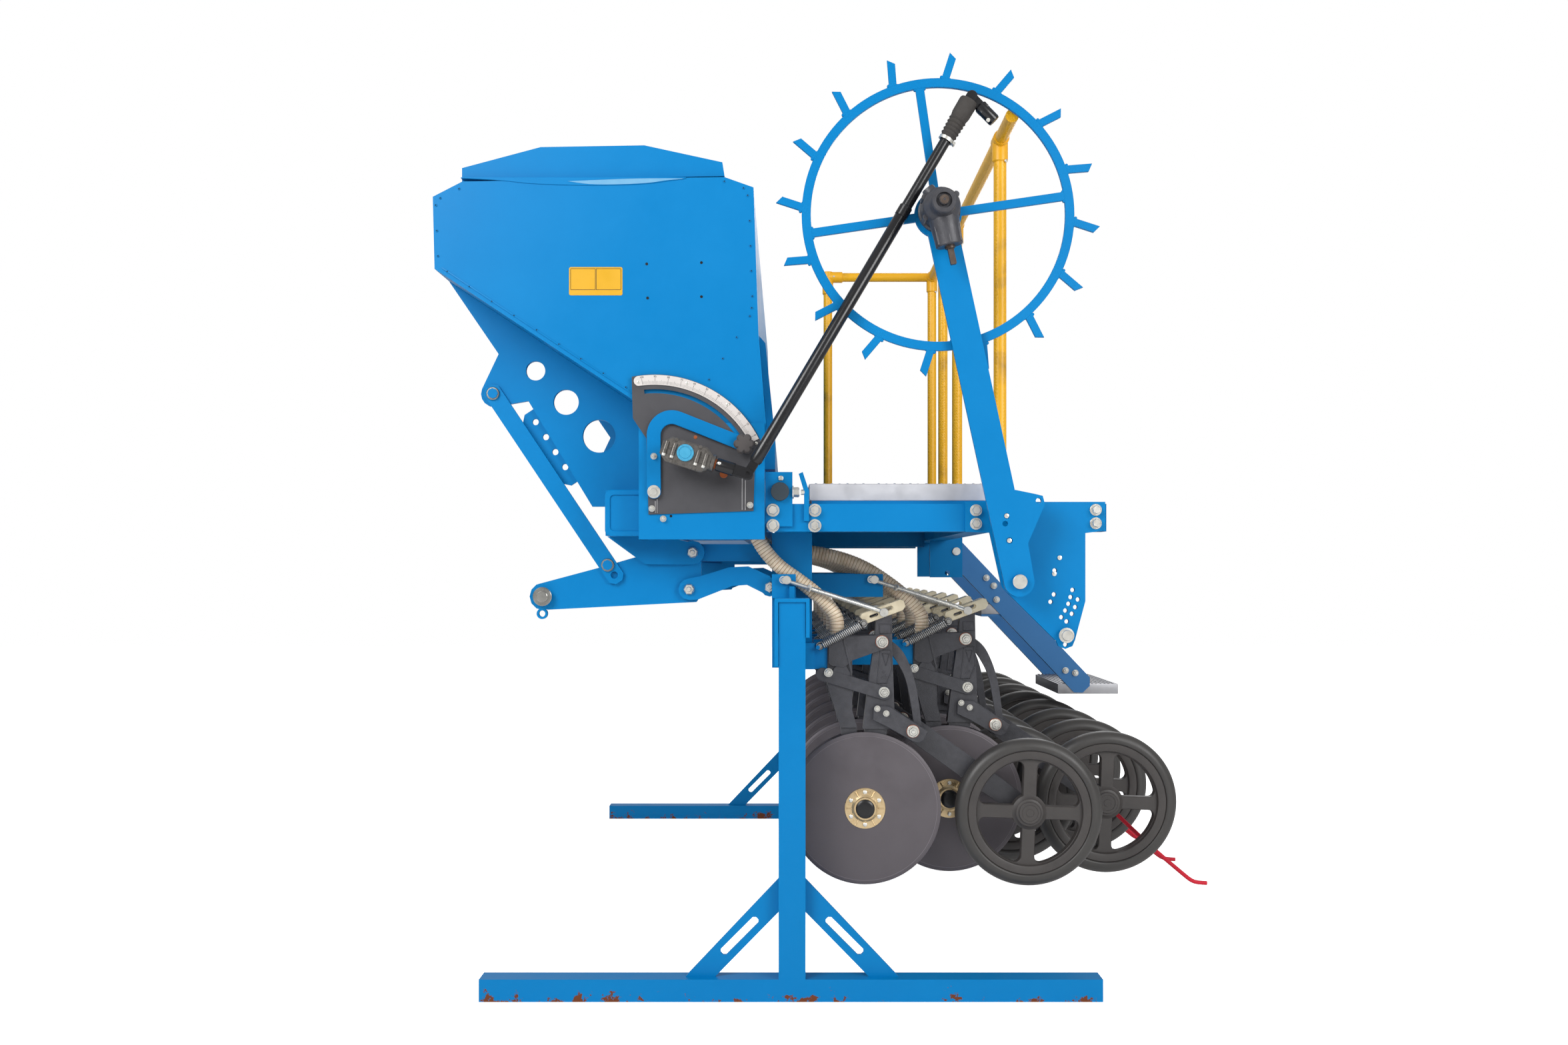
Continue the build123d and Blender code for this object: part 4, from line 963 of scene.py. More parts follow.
for x, z in weld_spots:
    turned(wheel, at(x, wheel_face[0], z), far, [(0.8, 2.6), (2, 3.4), (8, 3.4), (9.2, 2.6)], 10)
turned(
    wheel, at(hub[0], -1290, hub[1]), far,
    [(-5, 12.05), (-5, 51), (-4, 52), (4, 52), (5, 51), (5, 12.05)], 64, loop=True,
)
add_piece("ground_wheel_ring", wheel, blue_coat, "ground_wheel", ("ground_wheel",))

# ------------------------------------------------------------------ wheel arm and its side plate
# The arm is 12 mm plate with a bent heel, on a thick pivot pin in a plate bolted to the near beam.
# A row of small holes in the plate sets how far the wheel drops.
arm_pivot = (497, 937)
dress("wheel_arm", blue_coat)
dress("arm_plate", blue_coat)
plate_rims = bmesh.new()
for x, z in (
    (587, 961.5), (585.5, 908), (578, 891.5), (627, 918), (622.7, 902), (639, 896.7), (618, 887),
    (633, 879.6), (611, 872), (625.7, 864.7), (602, 857), (613.8, 847.5), (611, 796),
):
    rim(plate_rims, x, z, (-1242, -1230), 5.1, 1.8)
add_piece("arm_plate_rims", plate_rims, blue_coat, "root")
arm_bolts = bmesh.new()
turned(
    arm_bolts, at(arm_pivot[0], -1323, arm_pivot[1]), near,
    [(0, 15.9), (1.5, 15.9), (2.5, 14.8), (2.7, 0.4)], 40,
)
turned(arm_bolts, at(611, -1254, 817), near, [(0, 17), (3, 17), (3.4, 12.5), (12, 12.5), (14, 11)], 32)
for x, z in ((586, 954), (598, 990)):
    turned(arm_bolts, at(x, -1242, z), near, [(0, 5.5), (2.2, 5), (3, 3)], 16)
add_piece("arm_plate_pins", arm_bolts, zinc_plate, "root")
heel_bolts = bmesh.new()
for x, z in ((469, 1081), (475, 1027)):
    turned(heel_bolts, at(x, -1313, z), near, [(0, 5.5), (2, 5), (2.6, 3)], 16)
add_piece("arm_heel_bolts", heel_bolts, zinc_plate, "wheel_arm")

# Angle gearbox on the hub: a round cast case with a lower neck, from which a square shaft end sticks
# out. Its black paint lies over the casting's grit, so it glints in points.
black_casting = finish("black painted casting", "#4A4A4F", "#353539", 0.38, 14, 2.4, 0.0006, 0.15)
hub_case = bmesh.new()
arm_way = Vector((arm_pivot[0] - hub[0], 0, arm_pivot[1] - hub[1])).normalized()
turned(
    hub_case, at(hub[0], -1313, hub[1]), near,
    [(0, 46), (10, 46), (13, 42), (30, 41), (60, 41), (72, 37), (78, 30), (84, 27.5),
     (108, 27), (111, 25), (111, 17), (104, 16), (104, 11), (117, 10.5), (119, 8)], 48,
)
middle = Vector((hub[0], -1362, hub[1]))
turned(
    hub_case, at(*middle), arm_way,
    [(20, 33), (44, 32), (72, 30), (84, 30), (86, 28), (86, 14)], 40,
)
turned(hub_case, at(*middle), (-0.6, 0, 0.8), [(20, 15), (46, 15), (50, 13)], 24)
for turn in (40, 150, 215, 320):
    angle = math.radians(turn)
    spot = at(hub[0] + 41 * math.cos(angle), -1325, hub[1] + 41 * math.sin(angle))
    turned(hub_case, spot, near, [(0, 7), (44, 7), (46, 5)], 14)
for aside in (-24, 0, 24):
    rib = Vector((-arm_way.z, 0, arm_way.x)) * aside
    start = middle + arm_way * 42 + rib + Vector((0, -27 + abs(aside) * 0.45, 0))
    tube(hub_case, [at(*start), at(*(start + arm_way * 40))], 3.6, 8)
add_piece("hub_gearbox_case", hub_case, black_casting, "wheel_arm", ("wheel_gearbox",))

output = bmesh.new()
turned(output, at(*middle), arm_way, [(84, 11), (92, 11), (93, 9)], 28)
turned(output, at(*middle), arm_way, [(90, 9), (125, 9), (127, 7.5)], 4, phase=math.tau / 8)
turned(
    output, at(hub[0], -1417, hub[1]), near,
    [(0, 10.4), (14, 10.2), (15.5, 9), (15.5, 3), (13, 0.4)], 28,
)

# Bare steel gone brown under old grease, with a dull shine.
brown_steel = finish("browned steel", "#6E625A", "#483D36", 0.45, 12, 1.5, 0.0002, 0.8)
add_piece("hub_gearbox_shaft", output, brown_steel, "wheel_arm")

# ------------------------------------------------------------------ deck
# Three extruded aluminium planks with a raised anti-slip pattern, screwed down on the cross beams.
# Mill-finished aluminium, clouded by boots to a soft light grey.
plank_front = 39
plank_pitch = 143
stud_pitch = (18, 20)
aluminium = finish("rolled aluminium", "#DCDCE0", "#C4C5CA", 0.42, 50, 1.2, 0.00008, 0.7)
dress("deck", aluminium, 1.5)
studs = bmesh.new()
for number in range(3):
    for row in range(7):
        x = plank_front + number * plank_pitch + 16 + row * stud_pitch[0]
        for column in range(118):
            y = -1178 + (column + row % 2 / 2) * stud_pitch[1]
            low = [at(x + u, y + v, 1158) for u, v in ((-4, 0), (0, -5), (4, 0), (0, 5))]
            high = [at(x + u, y + v, 1160.2) for u, v in ((-2, 0), (0, -3), (2, 0), (0, 3))]
            skin(studs, [low, high])
add_piece("deck_studs", studs, aluminium, "root")

# Flat caps close the planks' ends.
ends = bmesh.new()
for side in (-1, 1):
    y = sorted((side * 1188, side * 1191.5))
    plate(ends, [rounded((plank_front, 465), (1119.5, 1158.2), 5)], y, 1.2)
add_piece("deck_ends", ends, aluminium, "root")

# ------------------------------------------------------------------ handrails
# Steel tube with a rolled grip pattern, joined by cast clamps and painted yellow. The paint darkens
# in bands where hands have left dust and grease.
yellow_bright = "#EDB010"
yellow_worn = "#B98A22"
dash_pitch = 8.5       # mm from one raised dash of the grip to the next
dirt_band = 190        # mm across a dirty band


def rail_paint():
    """Yellow enamel over knurled tube: rows of small raised dashes, dirt in broad bands."""
    material = start_material("yellow enamel")
    place = add_node(material, "ShaderNodeTexCoord").outputs["Object"]
    dirt = add_node(
        material, "ShaderNodeTexNoise", Vector=place, Scale=1000 / dirt_band, Detail=5.0, Roughness=0.6
    )
    level = add_node(material, "ShaderNodeMapRange", _0=dirt.outputs["Fac"], _1=0.56, _2=0.68)
    tone = add_node(
        material, "ShaderNodeMix", {"data_type": "RGBA"},
        _0=level.outputs[0], _6=linear(yellow_bright), _7=linear(yellow_worn),
    )
    dashes = add_node(
        material, "ShaderNodeTexVoronoi", Vector=place, Scale=1000 / dash_pitch, Randomness=0.25
    )
    raised = add_node(
        material, "ShaderNodeMapRange", _0=dashes.outputs["Distance"], _1=0.18, _2=0.42, _3=1.0, _4=0.0
    )
    bump = add_node(
        material, "ShaderNodeBump", Height=raised.outputs[0], Strength=0.8, Distance=0.0009
    )
    paint = add_node(
        material, "ShaderNodeBsdfPrincipled", Base_Color=tone.outputs[2], Roughness=0.36,
        IOR=1.5, Normal=bump.outputs[0],
    )
    return finish_material(material, paint)


yellow_enamel = rail_paint()

# The cast clamps have the same enamel without the grip: smooth, even yellow.
plain_yellow = finish("yellow enamel on castings", "#F3B412", "#E2A40F", 0.38, 40, metallic=0.0)
rail_x = 488
rail_z = 1970
gate_x = 130           # the short rail's front post
gate_y = 560
posts = (-1079, -200, 200, gate_y)
up = Vector((0, 0, 1))
rear = Vector((1, 0, 0))
rails = bmesh.new()
for y in posts:
    turned(rails, at(rail_x, y, 1111), up, [(0, 15), (rail_z - 1111, 15)], 32)
turned(rails, at(rail_x, -1270, rail_z), far, [(0, 13.5), (1.5, 15), (1091, 15), (1092, 14)], 32)
turned(rails, at(rail_x, 178, rail_z), far, [(0, 14), (1, 15), (401, 15), (402, 14)], 32)
turned(rails, at(gate_x, gate_y, rail_z), rear, [(0, 15), (rail_x - gate_x, 15)], 32)
turned(rails, at(gate_x, gate_y, 1158), up, [(0, 15), (rail_z - 1158, 15)], 32)
add_piece("rail_tubes", rails, yellow_enamel, "root", ("handrails",))

clamps = bmesh.new()
for y in posts:
    turned(clamps, at(rail_x, y, rail_z - 52), up, [(0, 16), (3, 18.6), (44, 18.6), (50, 17)], 28)
    turned(clamps, at(rail_x, y - 28, rail_z), far, [(0, 17), (3, 18.6), (53, 18.6), (56, 17)], 28)
    turned(clamps, at(rail_x, y, 1112), up, [(0, 26), (5, 26), (7, 20), (40, 19), (42, 16)], 28)
turned(
    clamps, at(gate_x, gate_y, rail_z - 60), up,
    [(0, 16), (3, 18.6), (52, 18.6), (76, 18.6), (78, 17)], 28,
)
turned(
    clamps, at(gate_x - 2, gate_y, rail_z), rear, [(0, 17), (3, 18.6), (50, 18.6), (53, 16)], 28
)
turned(
    clamps, at(gate_x, gate_y, 1159), up, [(0, 26), (5, 26), (7, 20), (36, 19), (38, 16)], 28
)
add_piece("rail_clamps", clamps, plain_yellow, "root")
rail_screws = bmesh.new()
for y in posts:
    turned(rail_screws, at(rail_x + 12, y - 14, rail_z - 52), near, [(0, 4), (3, 3.6), (4, 2)], 14)
for x, z in ((gate_x + 20, rail_z), (gate_x, rail_z - 44)):
    turned(rail_screws, at(x, gate_y - 18.5, z), near, [(0, 3.4), (1.6, 3)], 14)
add_piece("rail_screws", rail_screws, zinc_plate, "root")

# ------------------------------------------------------------------ ladder
# Two folded steel stringers, powder coated blue, with serrated aluminium treads bolted between them.
# It folds up on its pins for work. Its blue is lighter and greyer than the frame's: painted light
# that lifts it out of the shade and haze it stands in. The treads are scuffed silver.
ladder_lightened_coat = powder_coat("blue powder coat lightened against shade", "#4A82BA", "#3A72AA")
dress("ladder", ladder_lightened_coat)
treads = bmesh.new()
bar_pitch = 12
for x, z in (((560, 645), 862), ((785, 960), 628)):
    for number in range(int((x[1] - x[0]) / bar_pitch)):
        left = x[0] + 5 + number * bar_pitch
        box(treads, (left, left + 5), (-193, 193), (z - 1, z + 2.6), 0, 0.5)
    box(treads, (x[0] - 1, x[1] + 1), (-197, 197), (z - 29, z + 0.4), 0, 1.4)
dull_aluminium = finish("scuffed aluminium", "#BEBEC1", "#9B9B9F", 0.45, 40, 1.2, 0.0001, 0.6)
add_piece("ladder_treads", treads, dull_aluminium, "ladder")
ladder_bolts = bmesh.new()
slope = math.radians(-46.6)
down = Vector((math.cos(slope), 0, math.sin(slope)))
up_side = Vector((-down.z, 0, down.x))
for reach, aside in ((118, 12), (150, 12), (185, -10), (475, -6), (500, 10)):
    spot = Vector(ladder_pin) + down * reach + up_side * aside
    bolt(ladder_bolts, at(spot.x, -200, spot.z), near, 13, 3)
    bolt(ladder_bolts, at(spot.x, 200, spot.z), far, 13, 3)
add_piece("ladder_bolts", ladder_bolts, zinc_plate, "ladder")
pin_heads = bmesh.new()
for side, way in ((-1, near), (1, far)):
    head = at(ladder_pin[0], side * 213, ladder_pin[2])
    turned(pin_heads, head, way, [(0, 12), (4, 12), (5, 11)], 20)
add_piece("ladder_pin_heads", pin_heads, zinc_plate, "root")

# ------------------------------------------------------------------ row units: coulters and arms
# Sixteen units in two ranks. Each is a cast shank and boot between cut side plates that carries the
# discs, with a press arm behind. All of it is painted black over castings and cut plate.
row_count = 16
row_pitch = 150        # mm between two rows
rank_offset = 210      # mm from the front rank to the rear one
row_places = [
    ((i % 2) * rank_offset, (i - (row_count - 1) / 2) * row_pitch) for i in range(row_count)
]
wheel_middle = (547, 0, 404)
for node in ("coulter_shanks", "seed_boots"):
    dress(node, black_casting, 0.6)


def at_rows(name, shape, material, replaced=(), smooth=32):
    """Repeats a shape drawn for a row at the drawing's zero at all sixteen rows, as one piece."""
    bmesh.ops.recalc_face_normals(shape, faces=shape.faces)
    one = bpy.data.meshes.new("one")
    shape.to_mesh(one)
    shape.free()
    every = bmesh.new()
    for x, y in row_places:
        copy = one.copy()
        copy.transform(Matrix.Translation(Vector((x, y, 0)) / 1000))
        every.from_mesh(copy)
        bpy.data.meshes.remove(copy)
    bpy.data.meshes.remove(one)
    add_piece(name, every, material, "root", replaced, smooth)


def slot_hole(x0, z0, x1, z1, radius, steps=6):
    """The outline of a hole with two round ends."""
    turn = math.degrees(math.atan2(z1 - z0, x1 - x0))
    far_end = arc(x1, z1, radius, turn - 90, turn + 90, steps)
    return far_end + arc(x0, z0, radius, turn + 90, turn + 270, steps)


unit_sides = ((-24, -18), (18, 24))
plates = bmesh.new()
for low, high in unit_sides:
    plate(
        plates,
        [
            [(84, 748), (84, 806), (87, 809)] + [(204, 813), (212, 811), (224, 803)]
            + [(220, 787), (216, 782), (140, 755), (120, 738), (92, 742)],
        ],
        (low, high), 0.6,
    )
    lower_link = slot_hole(70, 723, 213, 679, 15, 8)
    plate(plates, [lower_link], (low, high), 0.6)
    web = [(90, 716), (97, 738), (120, 750), (134, 727), (131, 700)]
    plate(plates, [web], (low + 1, high - 1), 0.6)
box(plates, (89, 167), (-26, -23), (763, 767), -76, 0.8)
at_rows("row_side_plates", plates, black_casting, ("coulter_arms",))

# Depth adjusters: a folded channel with slots for the lift rod's pin. Its zinc has a pale chromate
# skin, which gives a creamy gleam.
zinc_yellow = finish("pale chromate on zinc", "#F0E6CC", "#D2C4A4", 0.34, 26, metallic=0.75)
adjusters = bmesh.new()
low_end = Vector((172, 0, 853))
adjuster_way = (Vector((247, 0, 881)) - low_end).normalized()


def on_adjuster(reach, aside):
    """A place (x, z) on the adjuster's side, along it and across it."""
    side = Vector((-adjuster_way.z, 0, adjuster_way.x))
    spot = low_end + adjuster_way * reach + side * aside
    return (spot.x, spot.z)


for low, high in unit_sides:
    corners = ((-8, -13), (84, -13), (93, -6), (93, 8), (86, 13), (-8, 13), (-14, 6))
    sheet = [on_adjuster(u, v) for u, v in corners]
    openings = [
        slot_hole(*on_adjuster(10, -1), *on_adjuster(24, -1), 3.4),
        slot_hole(*on_adjuster(48, 2), *on_adjuster(60, 2), 4.4),
    ]
    plate(adjusters, [sheet] + openings, (low, high), 0.8)
top_face = [on_adjuster(u, v) for u, v in ((62, 10), (86, 10), (86, 13), (62, 13))]
plate(adjusters, [top_face], (-19, 19), 0.5)
at_rows("depth_adjusters", adjusters, zinc_yellow)

# Press arms: two bent plates back to a pin at the knee, and from there a straight bar on the far
# side to the wheel's axle, round at both ends. A thin curved guard follows the discs' rims.
knee = Vector((290, 0, 586))
bar_half = 26
arms = bmesh.new()
for low, high in ((-30, -18), (18, 36)):
    plate(
        arms,
        [[(186, 618), (187, 645), (191, 650), (218, 650), (226, 648), (312, 592), (302, 572),
          (290, 566), (276, 570), (216, 604)]],
        (low, high), 1.0,
    )
turned(arms, at(knee.x, -29, knee.z), far, [(0, 14), (58, 14)], 20)
wheel_way = (Vector(wheel_middle) - knee).normalized()
bar_angle = math.degrees(math.atan2(wheel_way.z, wheel_way.x))


def on_bar(reach, aside):
    """A place (x, z) on the press arm's bar, along it from the knee and across it."""
    side = Vector((-wheel_way.z, 0, wheel_way.x))
    spot = knee + wheel_way * reach + side * aside
    return (spot.x, spot.z)


bar = [on_bar(0, -bar_half), on_bar(225, -bar_half), on_bar(295, -24)]
bar += arc(wheel_middle[0], wheel_middle[2], bar_half, bar_angle - 80, bar_angle + 80, 10)
bar += [on_bar(295, 24), on_bar(225, bar_half), on_bar(0, bar_half)]
bar += arc(knee.x, knee.z, bar_half, bar_angle + 100, bar_angle + 260, 8)
plate(arms, [bar], (30, 36), 1.0)
guard = (
    smooth_line([(232.5, 797), (248, 784), (262, 765), (277, 730), (288, 690), (295, 645), (300, 600)])
    + smooth_line([(282, 604), (276, 645), (268, 690), (258, 722), (244, 748), (238, 757), (232.5, 765)])
)
plate(arms, [guard], (-3, 3), 0.6)
at_rows("press_arm_plates", arms, black_casting, ("press_arms",))

# Raised casting lines on the shanks' near faces, where the mould left them.
cast_lines = bmesh.new()
for loop in (
    [(201, 838), (228, 838), (229, 817), (202, 817)],
    [(204, 778), (228, 778), (231, 735), (218, 702), (196, 702)],
    [(208, 770), (224, 770), (216, 742)],
):
    line = [at(x, -18.4, z) for x, z in loop]
    tube(cast_lines, line + line[:1], 1.3, 6)
for x, z in ((211, 728), (218, 720), (209, 714)):
    turned(cast_lines, at(x, -18, z), near, [(0, 2.6), (1, 2.4)], 8)
at_rows("shank_cast_lines", cast_lines, black_casting)

# Nuts, washers and the flat heads of the lift rods: bright zinc plate, but rust on two washers where
# water stands.
fasteners = bmesh.new()
for x, z, face, flats in (
    (206.9, 797.5, -26.5, 19), (211.7, 681.7, -24, 17), (195.8, 644.6, -30, 10),
    (216.2, 633.5, -30, 10), (277.4, 592.7, -31.6, 19), (84, 727, -24, 14),
):
    bolt(fasteners, at(x, face, z), near, flats, 3)
for x, z, face in ((206.9, 797.5, 24), (277.4, 592.7, 36), (211.7, 681.7, 24)):
    bolt(fasteners, at(x, face, z), far, 17, 3)
for x, z, face in ((-12, 939.6, -37), (210.6, 865.4, -37)):
    turned(fasteners, at(x, face, z), near, [(0, 10.2), (2.4, 10.2), (3.2, 9.4)], 20)
at_rows("row_fasteners", fasteners, zinc_plate)
rusty_washers = bmesh.new()
for x, z, face in ((206.9, 797.5, -24), (277.4, 592.7, -30)):
    turned(rusty_washers, at(x, face, z), near, [(0, 15), (2.2, 15), (2.6, 14)], 24)
at_rows("rusty_washers", rusty_washers, rust)

# ------------------------------------------------------------------ lift rods and springs
# A threaded rod of zinc plated steel lifts each unit, and a coil spring of oiled steel, hooked to
# an eye at each end, presses it down.
thread_pitch = 3
rods = bmesh.new()
rod_from = Vector((-20, -30.5, 940))
rod_to = Vector((212, -30.5, 866))
rod_way = (rod_to - rod_from).normalized()
rod_long = (rod_to - rod_from).length
profile = [(0, 4.8), (62, 4.8), (64, 6.2)]
for number in range(int((rod_long - 90) / thread_pitch)):
    start = 66 + number * thread_pitch
    profile += [(start, 4.9), (start + thread_pitch / 2, 5.8)]
profile += [(rod_long - 20, 5), (rod_long, 5)]
turned(rods, at(*rod_from), rod_way, profile, 12)
turned(rods, at(*rod_from), rod_way, [(58, 8.4), (59, 9), (66, 9), (67, 8.4)], 6)
for spot in (rod_from, rod_to):
    turned(rods, at(*spot), near, [(-6.4, 9), (6.4, 9)], 20)
    turned(rods, at(*spot), near, [(-13, 5), (8, 5)], 14)
at_rows("lift_rods", rods, zinc_plate, ("tie_rods",))

# Spring wire is not plated: under its oil it is a darker, glossier grey than the rods.
spring_coat = finish("oiled spring steel", "#B9B8B6", "#858482", 0.3, 20, metallic=0.9)
coils = 22
coil_round = 9.7
wire_round = 1.9
hook_round = 7.5
springs = bmesh.new()
low_eye = Vector((64, -38, 789))
high_eye = Vector((164, -38, 840))
spring_way = (high_eye - low_eye).normalized()
spring_long = (high_eye - low_eye).length
side = spring_way.cross(far).normalized()
other = spring_way.cross(side)
line = []
for step in range(coils * 10 + 1):
    part = step / (coils * 10)
    turn = math.tau * coils * part
    spot = low_eye + spring_way * (7 + (spring_long - 14) * part)
    spot = spot + (side * math.cos(turn) + other * math.sin(turn)) * coil_round
    line.append(at(*spot))
tube(springs, line, wire_round, 6)
for eye, way in ((low_eye, 1), (high_eye, -1)):
    hook = []
    for step in range(11):
        turn = math.radians(-150 + 30 * step)
        spot = eye + (spring_way * -way * math.cos(turn) + side * math.sin(turn)) * hook_round
        hook.append(at(*spot))
    tube(springs, hook, 2.3, 6)
    turned(springs, at(*eye), far, [(-9, 5), (14, 5), (15, 4)], 14)
at_rows("coil_springs", springs, spring_coat, ("coulter_springs",), 60)

# ------------------------------------------------------------------ seed hoses
# Ribbed polyethylene hose of 34 mm, cream, with painted shade in its grooves. Each leaves a metering
# outlet under the hopper and slips over the mouth of its coulter's boot.
hose_cream = "#DCCBB3"
hose_dust = "#B5A084"
rib_pitch = 7.8
dust_patch = 70        # mm across a patch of dust


def hose_plastic():
    """Matt cream plastic that lets a little light in, browner in soft patches of dust."""
    material = start_material("ribbed polyethylene")
    place = add_node(material, "ShaderNodeTexCoord").outputs["Object"]
    dust = add_node(
        material, "ShaderNodeTexNoise", Vector=place, Scale=1000 / dust_patch, Detail=5.0, Roughness=0.65
    )
    level = add_node(material, "ShaderNodeMapRange", _0=dust.outputs["Fac"], _1=0.42, _2=0.68)
    tone = add_node(
        material, "ShaderNodeMix", {"data_type": "RGBA"},
        _0=level.outputs[0], _6=linear(hose_cream), _7=linear(hose_dust),
    )
    plastic = add_node(
        material, "ShaderNodeBsdfPrincipled", Base_Color=tone.outputs[2], Roughness=0.5, IOR=1.5,
        Subsurface_Weight=0.1, Subsurface_Scale=0.004,
    )
    return finish_material(material, plastic)


cream_hose = hose_plastic()


def smooth_route(points, close=0.003):
    """Close, evenly spaced points on a smooth curve steered by the given ones."""
    route = bpy.data.curves.new("route", "CURVE")
    route.dimensions = "3D"
    route.resolution_u = 24
    spline = route.splines.new("NURBS")
    spline.points.add(len(points) - 1)
    for point, place in zip(spline.points, points):
        point.co = (*place, 1)
    spline.order_u = 3
    spline.use_endpoint_u = True
    carrier = bpy.data.objects.new("route", route)
    wire = bpy.data.meshes.new_from_object(carrier)
    fine = [vertex.co.copy() for vertex in wire.vertices]
    bpy.data.objects.remove(carrier)
    bpy.data.curves.remove(route)
    bpy.data.meshes.remove(wire)
    travelled = [0.0]
    for a, b in zip(fine, fine[1:]):
        travelled.append(travelled[-1] + (b - a).length)
    count = max(2, round(travelled[-1] / close))
    spots, i = [], 0
    for number in range(count + 1):
        want = travelled[-1] * number / count
        while i < len(fine) - 2 and travelled[i + 1] < want:
            i += 1
        span = travelled[i + 1] - travelled[i]
        part = min(max((want - travelled[i]) / span, 0), 1) if span > 1e-9 else 0
        spots.append(fine[i].lerp(fine[i + 1], part))
    return spots


front_way = [
    (-88, 0, 1053), (-60, 0, 990), (46, 0, 919), (104, 0, 860), (104, 0, 820), (104, 0, 790.3),
]
rear_way = [
    (-88, 0, 1053), (-66, 0, 1010), (20, 0, 1012), (150, 0, 985), (245, 0, 925), (314, 0, 862),
    (314, 0, 820), (314, 0, 790.3),
]
rib_profile = {0: 14.9, 1: 16.7, 3: 17, 5: 17, 7: 16.7}   # eighths of a rib: radius in mm
hoses = bmesh.new()
hose_core = bmesh.new()
for number, (_, row_y) in enumerate(row_places):
    way = rear_way if number % 2 else front_way
    line = smooth_route([at(x, y + row_y, z) for x, y, z in way], rib_pitch / 8000)
    kept = [step for step in range(len(line)) if step % 8 in rib_profile]
    tube(hoses, [line[step] for step in kept], [rib_profile[step % 8] for step in kept], 14)
    tube(hose_core, line[::8] + line[-1:], 16.0, 14)
add_piece("ribbed_hoses", hoses, cream_hose, "root", ("seed_hoses",), 40)

# Between the ribs an inner core shows matt brown: painted shade in the grooves, which draws the hose's
# fine dark rings.
groove_painted_shade = finish("painted shade in hose grooves", "#B09A7C", "#92795C", 0.8, 20, metallic=0.0)
add_piece("hose_grooves", hose_core, groove_painted_shade, "root")

# ------------------------------------------------------------------ discs
# Two flat spring steel discs a row on a plated hub with a riveted, embossed flange and a black
# dust cap. Soil has stained the steel a dull, uneven dark grey.
disc_middle = (168, 0, 415)
disc_round = 175
disc_steel = finish("soiled disc steel", "#625D61", "#524D51", 0.5, 60, 1.4, 0.00012, 0.4)


def at_spinners(name, shape, material, kind, replaces_cad, smooth=32):
    """Copies a shape drawn for a row at the drawing's zero to all sixteen rows' turning bodies."""
    mesh = finished_mesh(name, shape, material, smooth)
    for number, (x, y) in enumerate(row_places, 1):
        body = f"{kind}_{number:02d}"
        piece = bpy.data.objects.new(f"{name}_{number:02d}", mesh)
        piece.location = Vector((x, y, 0)) / 1000
        scene.collection.objects.link(piece)
        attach(piece, body)
        if replaces_cad:
            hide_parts(body)


blades = bmesh.new()
for low, high, edge_first in ((-24, -20, True), (20, 24, False)):
    bevel = [
        (low, disc_round - 9), (low + 1.2, disc_round - 1), (low + 2.0, disc_round),
        (high - 0.4, disc_round), (high, disc_round - 2),
    ]
    if not edge_first:
        bevel = [(low + high - y, radius) for y, radius in reversed(bevel)]
    turned(blades, at(*disc_middle), far, [(low, 12)] + bevel + [(high, 12)], 96, loop=True)
at_spinners("disc_blades", blades, disc_steel, "disc_pair", True)

# The soil keeps the bevelled edge bare, so it shows as a thin, brighter ring.
ground_edge = finish("ground disc edge", "#8A8489", "#716B71", 0.36, 30, metallic=0.6)
edges = bmesh.new()
for way in (-1, 1):
    turned(
        edges, at(*disc_middle), (0, way, 0),
        [(24.1, 165.6), (22.1, 174.9), (21.7, 174.4), (23.7, 165.2)], 96, loop=True,
    )
at_spinners("disc_edges", edges, ground_edge, "disc_pair", False)

# Yellow chromate over zinc: pale gold with a soft shine. Six rivets and six pressed ribs a flange.
gold_zinc = finish("yellow chromate on steel", "#E2CDA6", "#BFA070", 0.3, 12, metallic=0.8)
rivet_round = 37
hubs = bmesh.new()
hub_rivets = bmesh.new()


def from_disc(turn, reach, y):
    """A place (x, y, z) on a disc pair's flange, by its turn and reach from the middle."""
    x, _, z = disc_middle
    return (x + reach * math.cos(turn), y, z + reach * math.sin(turn))


for way in (-1, 1):
    out = (0, way, 0)
    turned(
        hubs, at(*disc_middle), out,
        [(24, 47), (25.6, 46.4), (26, 44), (26, 31), (29, 27), (33, 26.6), (34.5, 25.4), (34.5, 21)],
        56,
    )
    for number in range(6):
        turn = math.tau * (number + 0.5) / 6
        spot = at(*from_disc(turn, rivet_round, way * 26))
        turned(hub_rivets, spot, out, [(0, 5), (1.6, 4.6), (2.6, 3.2), (3, 0.5)], 14)
        turn += math.tau / 12
        rib = [at(*from_disc(turn, reach, way * 26.2)) for reach in (30, 44)]
        tube(hubs, rib, 1.7, 8)
at_spinners("disc_hubs", hubs, gold_zinc, "disc_pair", False)
at_spinners("disc_rivets", hub_rivets, zinc_plate, "disc_pair", False)

# Glossy black plastic, the darkest spot of the row.
black_cap = finish("black plastic cap", "#121214", "#0C0C0E", 0.3, 30, metallic=0.0)
caps = bmesh.new()
for way in (-1, 1):
    turned(
        caps, at(*disc_middle), (0, way, 0),
        [(33.5, 22), (36.5, 21.6), (38.4, 19.4), (39.6, 14), (40, 7), (40.1, 0.4)], 36,
    )
at_spinners("disc_caps", caps, black_cap, "disc_pair", False)

